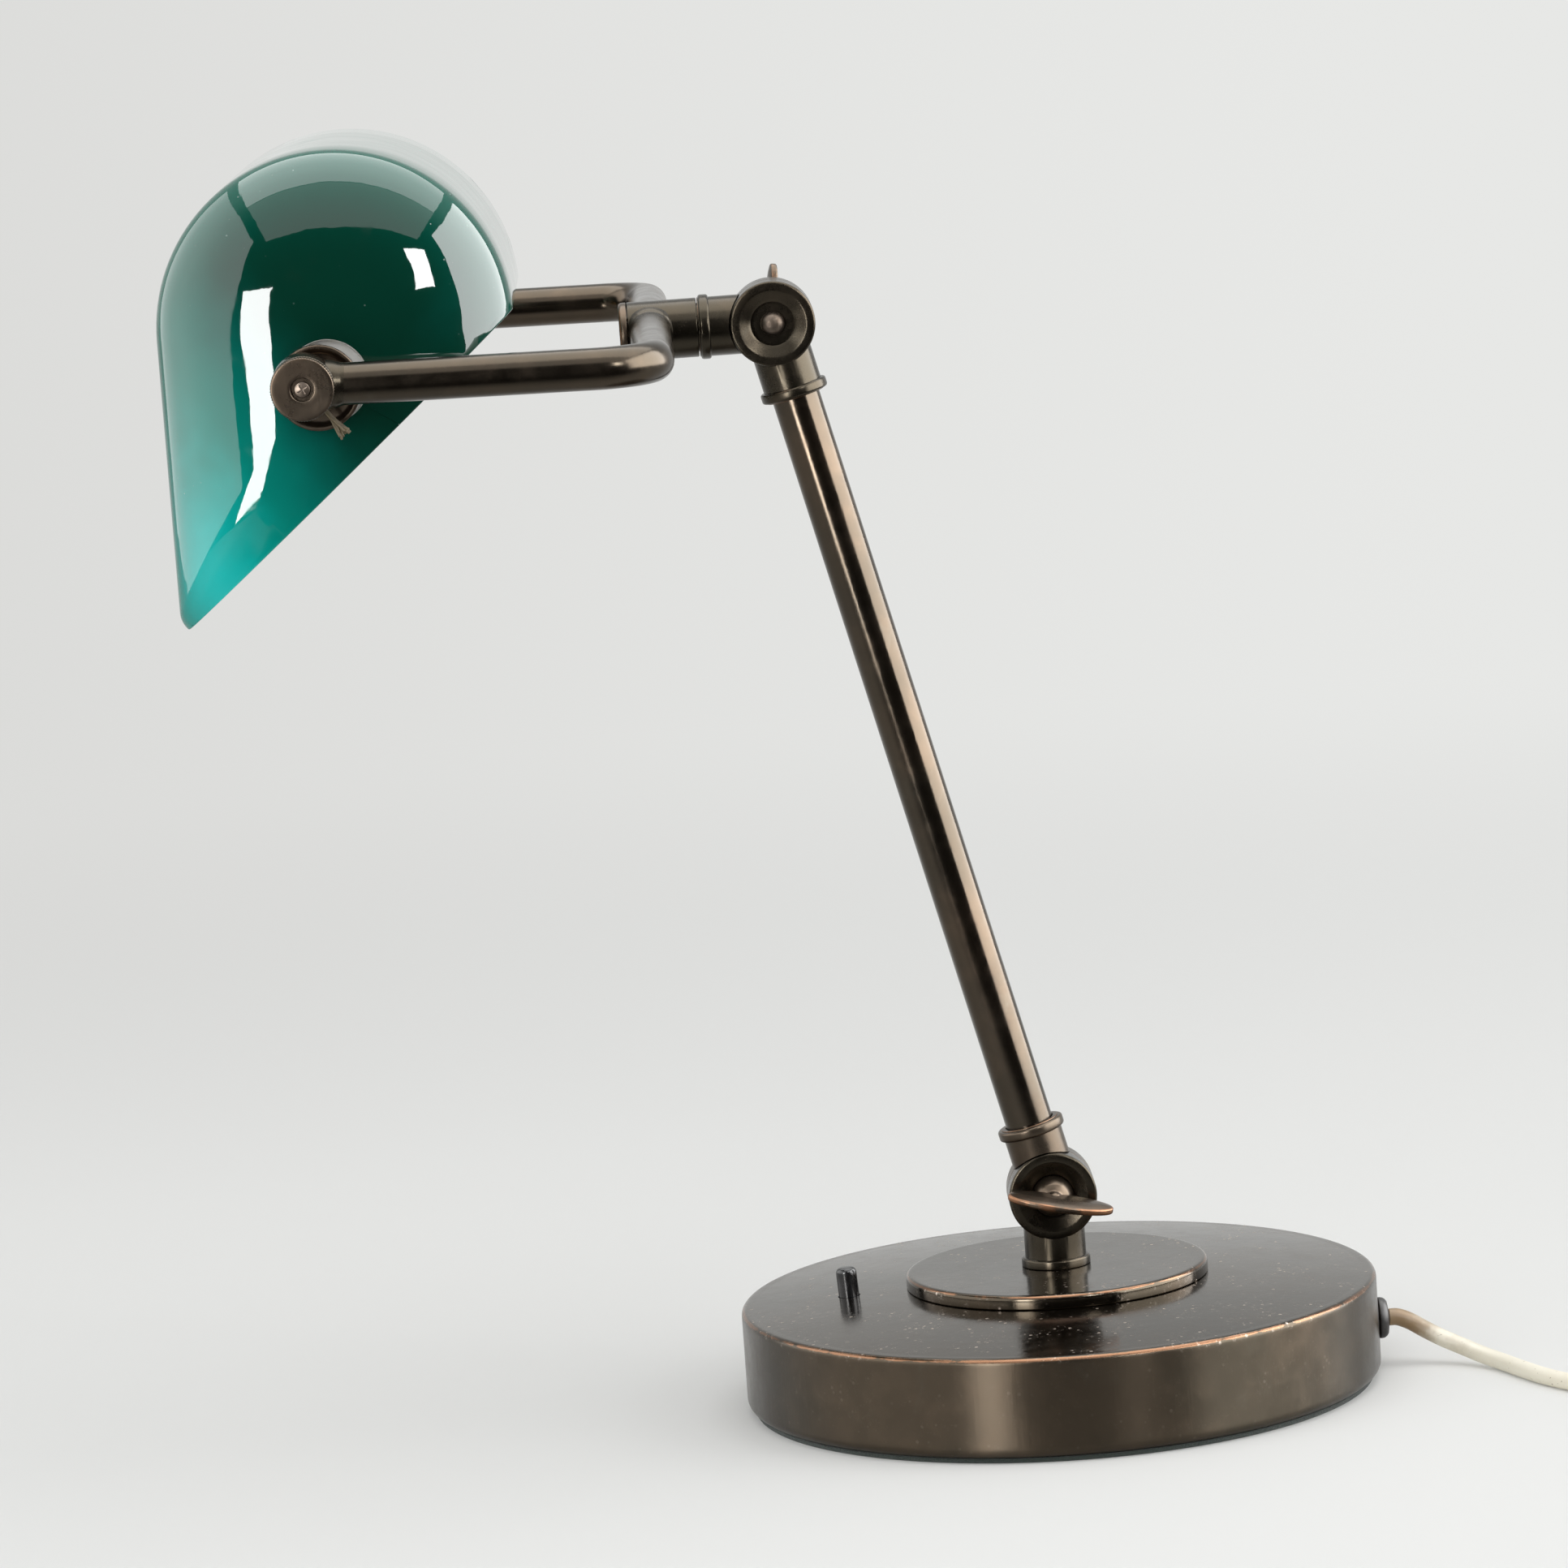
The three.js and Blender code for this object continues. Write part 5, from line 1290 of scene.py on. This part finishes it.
def arm_boss(side):
    """Round boss at the arm's end, with the collar that the arm is brazed into"""
    body = lathe([
        (PIVOT_BORE, BOSS_INNER), (BOSS_RADIUS, BOSS_INNER, 0.5, 0.3), (BOSS_RADIUS, BOSS_OUTER, 1.0, 0.4),
        (PIVOT_BORE, BOSS_OUTER), (PIVOT_BORE, BOSS_INNER),
    ], 96, along=facing("X", side), at=SHADE)
    fillet = lathe([
        (0, 6.5), (7.4, 6.9, 0.3, 0), (7.0, 9.2, 0.6, 0.2), (6.35, 11.2, 0.4, 0), (6.2, 12.4), (0, 12.4),
    ], 64, along=facing("Y"), at=SHADE @ shifted(side * FORK_HALF_SPAN, 0, 0))
    return together(body, fillet)


class LAMP_OT_fork(bpy.types.Operator):
    """Build the hub, its end cap, the two bent arms and their bosses"""
    bl_idname = "desk_lamp.fork"
    bl_label = "Fork"

    def execute(self, context):
        forward = facing("Y", -1)
        hub = lathe([
            (3.5, 16.3), (STEM_RADIUS, 16.3), (STEM_RADIUS, 23.1), (HUB_RADIUS, 23.1, 0.3, 0.3),
            (HUB_RADIUS, HUB_END, 0.25, 0.3), (3.5, HUB_END), (3.5, 16.3),
        ], 96, along=forward, at=FORK)
        collars = [
            lathe([
                (0, 6.0), (7.9, 7.0), (7.3, 8.6, 0.5, 0), (6.5, 9.9, 0.6, 0), (6.2, 11.4), (0, 11.4),
            ], 64, along=facing("X", side), at=FORK @ shifted(0, -HUB_CROSS, 0))
            for side in (1, -1)
        ]
        piece("fork_hub", together(hub, *collars), "fork", ["aged_bronze"], ["hub"])
        cap = lathe([
            (0, 42), (3.2, 42), (3.2, 44.8), (HUB_RADIUS, 44.8, 0.2, 0.5), (HUB_RADIUS, 47.3, 1.3, 0.7),
            (5.5, 47.15), (0, 47.3),
        ], 96, along=forward, at=FORK)
        piece("hub_end_cap", cap, "fork", ["worn_bronze"], ["hub_plug"])
        for name, side in (("near", 1), ("far", -1)):
            arm, boss = bent_arm(side), arm_boss(side)
            piece(f"bent_arm_{name}", arm, "fork", ["satin_bronze"], [f"fork_arm_{name}"])
            piece(f"arm_boss_{name}", boss, "fork", ["aged_bronze"], [f"fork_boss_{name}"])
        return {"FINISHED"}


# Shade fittings


def knurled_disc(side):
    """Clamp disc with a knurled rim and a recess for its screw"""
    inner = BOSS_OUTER + GAP
    outer = inner + DISC_THICKNESS
    knurls = bpy.context.scene.lamp_metal.knurls
    disc = lathe([
        (PIVOT_BORE, inner), (9.0, inner, 0.2, 0.5), (DISC_RADIUS, inner + 0.5), (DISC_RADIUS, outer - 0.55),
        (9.05, outer, 0.2, 0.6), (3.5, outer, 0.25, 0.5), (3.3, outer - DISC_RECESS),
        (0, outer - DISC_RECESS), (0, inner + 1.6), (PIVOT_BORE, inner + 1.6), (PIVOT_BORE, inner),
    ], knurls * 2)
    for vert in disc.verts:
        radius = vert.co.xy.length
        share = math.atan2(vert.co.y, vert.co.x) / math.tau * knurls * 2
        if radius > (DISC_RADIUS - 0.1) * MM and round(share) % 2:
            vert.co.xy *= 1 - 0.32 * MM / radius
    return settled(disc, facing("X", side), SHADE)


def disc_screw(side):
    """Small cross-slotted screw in the clamp disc"""
    floor = BOSS_OUTER + GAP + DISC_THICKNESS - DISC_RECESS
    screw = lathe([
        (0, BOSS_OUTER), (1, BOSS_OUTER), (1, floor), (2.4, floor, 0.15, 0.5), (2.35, floor + 0.7, 0.3, 0.6),
        (0, floor + 1.05),
    ], 48)
    slots = [
        slab(3.2, 0.5, 1.4, 0.05, shifted(0, 0, floor + 1.15) @ Matrix.Rotation(turn, 4, "Z"))
        for turn in (0.5, 0.5 + math.pi / 2)
    ]
    return settled(carved(screw, *slots), facing("X", side), SHADE)


def flange_cup(side):
    """Cup-shaped flange that presses on the glass round its hole"""
    lip = CUP_INNER + 3
    bowl = lathe([
        (0, CUP_INNER), (CUP_RADIUS, CUP_INNER, 0.5, 0.3), (CUP_RADIUS, lip, 0.45, 0.4),
        (CUP_RADIUS - 1.2, lip, 0.3, 0.2), (CUP_RADIUS - 2.4, lip - 1.5, 0.5, 0), (0, lip - 1.6),
    ], 96, along=facing("X", side), at=shifted(0, CUP_BACK, -CUP_DROP))
    middle = lathe([
        (PIVOT_BORE, CUP_INNER + 0.2), (8.1, CUP_INNER + 0.2), (8.1, CUP_OUTER, 0.5), (PIVOT_BORE, CUP_OUTER),
        (PIVOT_BORE, CUP_INNER + 0.2),
    ], 64, along=facing("X", side))
    return moved(together(bowl, middle), SHADE)


class LAMP_OT_pivots(bpy.types.Operator):
    """Build the flanges, washers, nuts, tubes and knurled discs of the shade's two pivots"""
    bl_idname = "desk_lamp.pivots"
    bl_label = "Shade Pivots"

    def execute(self, context):
        for name, side in (("near", 1), ("far", -1)):
            turn = facing("X", side)
            disc, screw, cup = knurled_disc(side), disc_screw(side), flange_cup(side)
            washer = settled(tube(WASHER_RADIUS, PIVOT_BORE, *WASHER_SPAN, 64, 0.15), turn, SHADE)
            hexagon = nut(NUT_RADIUS, PIVOT_BORE, *NUT_SPAN, SHADE @ turn)
            spindle = settled(tube(SPINDLE_RADIUS, SPINDLE_BORE, *SPINDLE_SPAN, 48), turn, SHADE)
            for made, body, rides, slot, look, node in (
                ("knurled_disc", disc, f"{name}_disc", "worn_bronze", "worn_bronze", "clamp_disc"),
                ("disc_screw", screw, f"{name}_disc", "plated_steel", "screw_bronze", "clamp_disc_screw"),
                ("flange_cup", cup, "shade", "worn_bronze", "worn_bronze", "shade_cup"),
                ("fibre_washer", washer, "shade", "white_fibre", "white_fibre", "inner_washer"),
                ("six_sided_nut", hexagon, "shade", "turned_brass", "turned_brass", "pivot_nut"),
                ("hollow_pivot", spindle, "shade", "turned_brass", "turned_brass", "pivot_tube"),
            ):
                piece(f"{made}_{name}", body, rides, [look], [f"{node}_{name}"])
        return {"FINISHED"}


# Glass


def glass_ring(body, x, share, rise):
    """One outline across the glass, drawn in towards the hole, with its open side carried on past the cut"""
    lip_radius = LIP_RADIUS + LIP_SOFTENING * (1 - share)
    dome = Vector((DOME_BACK, DOME_RISE))
    lip = Vector(LIP_CORNER) + Vector((lip_radius, lip_radius))
    front, back = Vector(CUT_FRONT), Vector(CUT_BACK)
    away = Vector((front.y - back.y, back.x - front.x)).normalized() * -1
    taper = lip - dome
    wall = math.atan2(taper.y, taper.x) - math.acos((DOME_RADIUS - lip_radius) / taper.length) + math.tau
    ends = []
    arcs = ((dome, DOME_RADIUS, 1, Vector((0.1, -1)), 60), (lip, lip_radius, -1, away, 14))
    for centre, radius, direction, runout, steps in arcs:
        below = math.asin((centre - front).dot(away) / radius)
        corner = math.atan2(away.y, away.x) + direction * (math.pi / 2 + below)
        sweep = (wall - corner) % math.tau if direction > 0 else -((corner - wall) % math.tau)
        place = centre + Vector((math.cos(corner), math.sin(corner))) * radius
        beyond = place + runout * CUT_RUNOUT
        first = body.verts.new((x * MM, place.x * MM, place.y * MM))
        body.edges.new((first, body.verts.new((x * MM, beyond.x * MM, beyond.y * MM))))
        spun = bmesh.ops.spin(
            body, geom=[first], axis=(1, 0, 0), cent=(x * MM, centre.x * MM, centre.y * MM), angle=sweep,
            steps=steps, use_merge=False,
        )
        ends.append((first.link_edges[0].other_vert(first), points_of(spun["geom_last"])[0]))
    runouts = [end[0].link_edges[0] for end in ends]
    closing = body.edges.new((ends[0][0], ends[1][0]))
    body.edges.new((ends[0][1], ends[1][1]))
    bmesh.ops.subdivide_edges(body, edges=runouts + [closing], cuts=5)
    ring = loop_of(closing)
    corners = list({vert for edge in ring for vert in edge.verts})
    hole = Matrix.Translation((-x * MM, -GLASS_HOLE_BACK * MM, -rise * MM))
    bmesh.ops.scale(body, vec=(1.0, share, share), space=hole, verts=corners)
    return ring


def loop_of(edge):
    """All edges of the wire loop that an edge belongs to"""
    found, waiting = {edge}, [edge]
    while waiting:
        for vert in waiting.pop().verts:
            for other in vert.link_edges:
                if other not in found and other.is_wire:
                    found.add(other)
                    waiting.append(other)
    return list(found)


def glass_shell():
    """The cased glass: a tube with softly domed ends, cut off below and bored at both ends"""
    wall = bpy.context.scene.lamp_glass.wall
    glass = blank_body()
    rises = {side: -GLASS_HOLE_DROP + side * GLASS_END * math.sin(GLASS_LEAN) for side in (-1, 1)}
    turns = [math.radians(90 * step / 14) for step in range(1, 15)]
    domed = [(math.sin(turn), GLASS_EQUATOR + (GLASS_END - GLASS_EQUATOR) * math.cos(turn)) for turn in turns]
    domed = [(share, x) for share, x in domed if share > 0.3]
    loops = [glass_ring(glass, -x, share, rises[-1]) for share, x in domed]
    loops += [glass_ring(glass, share * GLASS_EQUATOR, 1.0, 0.0) for share in (-0.6, -0.2, 0.2, 0.6)]
    loops += [glass_ring(glass, x, share, rises[1]) for share, x in reversed(domed)]
    for side in (-1, 1):
        at = shifted(side * (GLASS_END - 0.6), GLASS_HOLE_BACK, rises[side]) @ facing("X", side)
        hole = bmesh.ops.create_circle(
            glass, cap_ends=False, radius=GLASS_HOLE * MM, segments=96, matrix=at
        )
        rim = list({edge for vert in hole["verts"] for edge in vert.link_edges})
        loops = [rim] + loops if side < 0 else loops + [rim]
    for first, second in zip(loops, loops[1:]):
        bmesh.ops.bridge_loops(glass, edges=first + second)
    settled(glass)
    bmesh.ops.solidify(glass, geom=glass.faces[:], thickness=wall)
    front, back = Vector((0, *CUT_FRONT)) * MM, Vector((0, *CUT_BACK)) * MM
    across = (back - front).cross(Vector((1, 0, 0))).normalized()
    if across.z > 0:
        across = -across
    bmesh.ops.bisect_plane(
        glass, geom=glass.verts[:] + glass.edges[:] + glass.faces[:], dist=1e-6, plane_co=front,
        plane_no=across, clear_outer=True,
    )
    rims = [edge for edge in glass.edges if edge.is_boundary]
    rims = [edge for edge in rims if abs((edge.verts[0].co - front).dot(across)) < 1e-5]
    bmesh.ops.bridge_loops(glass, edges=rims)
    bmesh.ops.recalc_face_normals(glass, faces=glass.faces)
    sharp = [edge for edge in glass.edges if edge.is_manifold and edge.calc_face_angle(0) > 0.9]
    bmesh.ops.bevel(glass, geom=sharp, offset=0.45 * MM, affect="EDGES", segments=3, profile=0.5, material=-1)
    return settled(glass, GLASS)


class LAMP_OT_glass(bpy.types.Operator):
    """Build the cased glass shade"""
    bl_idname = "desk_lamp.glass"
    bl_label = "Glass Shade"

    def execute(self, context):
        body = glass_shell()
        inside = GLASS @ Vector((0, DOME_BACK * MM, DOME_RISE * MM))
        for face in body.faces:
            middle = face.calc_center_median()
            away = middle - inside
            away.x *= 0.35
            near_hole = (middle - SHADE.translation).yz - Vector((GLASS_HOLE_BACK, -GLASS_HOLE_DROP)) * MM
            bored = abs(middle.x) > 0.1 and near_hole.length < (GLASS_HOLE + 0.25) * MM
            face.material_index = 0 if face.normal.dot(away) > 0 and not bored else 1
        looks = ["emerald_glass", "opal_glass"]
        piece("cased_glass_shade", body, "shade", looks, ["shade_glass"], smooth=40)
        return {"FINISHED"}


# Lampholder and bulb


def along_shade(corners, steps=64):
    return lathe(corners, steps, along=facing("X"), at=SHADE @ shifted(HOLDER_START, 0, 0))


class LAMP_OT_lampholder(bpy.types.Operator):
    """Build the lampholder and the tubular bulb under the glass"""
    bl_idname = "desk_lamp.lampholder"
    bl_label = "Lampholder and Bulb"

    def execute(self, context):
        groove, wall = HOLDER_RADIUS - 0.4, HOLDER_RADIUS - 1.2
        shell = along_shade([
            (PIVOT_BORE, 0), (8.5, 0, 0.6, 0.4), (9.5, 0.9, 0.5, 0.3), (14.6, 3.4, 1.6, 0.3),
            (HOLDER_RADIUS, 8.4, 1.6, 0.3), (HOLDER_RADIUS, 19, 0.2, 0), (groove, 19.5), (groove, 20.4),
            (HOLDER_RADIUS, 20.9, 0.2, 0), (HOLDER_RADIUS, 41, 0.2, 0), (groove, 41.5), (groove, 42.4),
            (HOLDER_RADIUS, 42.9, 0.2, 0), (HOLDER_RADIUS, 46, 0.5, 0.8), (wall, 46, 0.4, 0.5),
            (wall, 8.4, 1.4, 0), (13.6, 4.6, 1.2, 0), (8.5, 1.3), (PIVOT_BORE, 1.2), (PIVOT_BORE, 0),
        ])
        piece("brass_holder_shell", shell, "shade", ["turned_brass"], ["holder_shell"])
        dress("white_porcelain", "holder_insert")
        dress("turned_brass", "bulb_contact")
        threads = [(0, 23.2), (8, 23.2, 1.0, 0), (11.4, 27.0, 0.6, 0)]
        for turn in range(5):
            threads += [(11.45, 28.6 + turn * 3.2, 0.4, 0), (12.0, 30.2 + turn * 3.2, 0.6, 0.3)]
        cap = along_shade(threads + [(11.5, 46.0, 0.3, 0), (10.9, 46.85), (10.9, 38.0), (0, 38.0)])
        piece("screw_bulb_cap", cap, "shade", ["turned_brass"], ["bulb_cap"])
        bulb = along_shade([
            (0, 38.15), (10.7, 38.15), (10.7, 46.9, 1.2, 0), (13.4, 50.6, 2.0, 0), (15.5, 56.9, 3.0, 0),
            (15.5, 134.65), (14.98, 138.66), (13.42, 142.4), (10.96, 145.61), (7.75, 148.07),
            (4.01, 149.62), (0, 150.15),
        ], 96)
        piece("tubular_bulb", bulb, "shade", ["frosted_bulb"], ["bulb_glass"], smooth=50)
        return {"FINISHED"}


# Frayed thread caught behind the near boss


class LAMP_OT_thread(bpy.types.Operator):
    """Add the frayed end of thread caught behind the near boss"""
    bl_idname = "desk_lamp.thread"
    bl_label = "Frayed Thread"

    def execute(self, context):
        start = SHADE @ Vector((0.1150, 0.0045, -0.0065))
        strands = []
        for strand in range(THREAD_STRANDS):
            twist = strand * 2.4
            spread = 0.00035 + 0.0009 * ((strand * 7) % 5) / 5
            reach = 0.0092 + 0.0020 * ((strand * 3) % 4) / 4
            line = []
            for step in range(THREAD_STEPS + 1):
                share = step / THREAD_STEPS
                curl = spread * (0.35 + share * share * 2.2)
                line.append(start + Vector((
                    0.0012 * share + curl * math.cos(twist + 3 * share),
                    reach * 0.66 * share + curl * 0.7 * math.sin(twist + 2 * share),
                    -reach * 0.72 * share - 0.0012 * share * share
                    + curl * 0.5 * math.cos(twist * 1.7 + 4 * share),
                )))
            strands.append(line)
        thread = round_curve("frayed_thread", strands, THREAD_RADIUS * MM, 1, "tan_thread", False)
        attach(thread, "fork")
        return {"FINISHED"}


# Panel and registration


class LAMP_PT_panel(bpy.types.Panel):
    """Lists the steps that build the lamp"""
    bl_idname = "LAMP_PT_panel"
    bl_label = "Banker Desk Lamp"
    bl_space_type = "VIEW_3D"
    bl_region_type = "UI"
    bl_category = "Desk Lamp"

    def draw(self, context):
        scene = context.scene
        for group in (scene.lamp_metal, scene.lamp_glass, scene.lamp_cord, scene.lamp_stage):
            box = self.layout.box()
            for name in group.__annotations__:
                box.prop(group, name)
        for step in STEPS:
            self.layout.operator(step.bl_idname)


GROUPS = (
    ("lamp_metal", LampMetalProperties),
    ("lamp_glass", LampGlassProperties),
    ("lamp_cord", LampCordProperties),
    ("lamp_stage", LampStageProperties),
)
STEPS = (
    LAMP_OT_stage, LAMP_OT_cord, LAMP_OT_foot, LAMP_OT_foot_inside, LAMP_OT_switch, LAMP_OT_knuckles,
    LAMP_OT_clamps, LAMP_OT_stem, LAMP_OT_fork, LAMP_OT_pivots, LAMP_OT_glass, LAMP_OT_lampholder,
    LAMP_OT_thread,
)


def register():
    for name, group in GROUPS:
        bpy.utils.register_class(group)
        setattr(bpy.types.Scene, name, PointerProperty(type=group))
    for step in STEPS + (LAMP_PT_panel,):
        bpy.utils.register_class(step)


def unregister():
    for step in reversed(STEPS + (LAMP_PT_panel,)):
        bpy.utils.unregister_class(step)
    for name, group in reversed(GROUPS):
        delattr(bpy.types.Scene, name)
        bpy.utils.unregister_class(group)


def build_lamp():
    register()
    bpy.ops.desk_lamp.stage()
    bpy.ops.desk_lamp.cord()
    bpy.ops.desk_lamp.foot()
    bpy.ops.desk_lamp.foot_inside()
    bpy.ops.desk_lamp.switch()
    bpy.ops.desk_lamp.knuckles()
    bpy.ops.desk_lamp.clamps()
    bpy.ops.desk_lamp.stem()
    bpy.ops.desk_lamp.fork()
    bpy.ops.desk_lamp.pivots()
    bpy.ops.desk_lamp.glass()
    bpy.ops.desk_lamp.lampholder()
    bpy.ops.desk_lamp.thread()


if __name__ == "__main__":
    build_lamp()
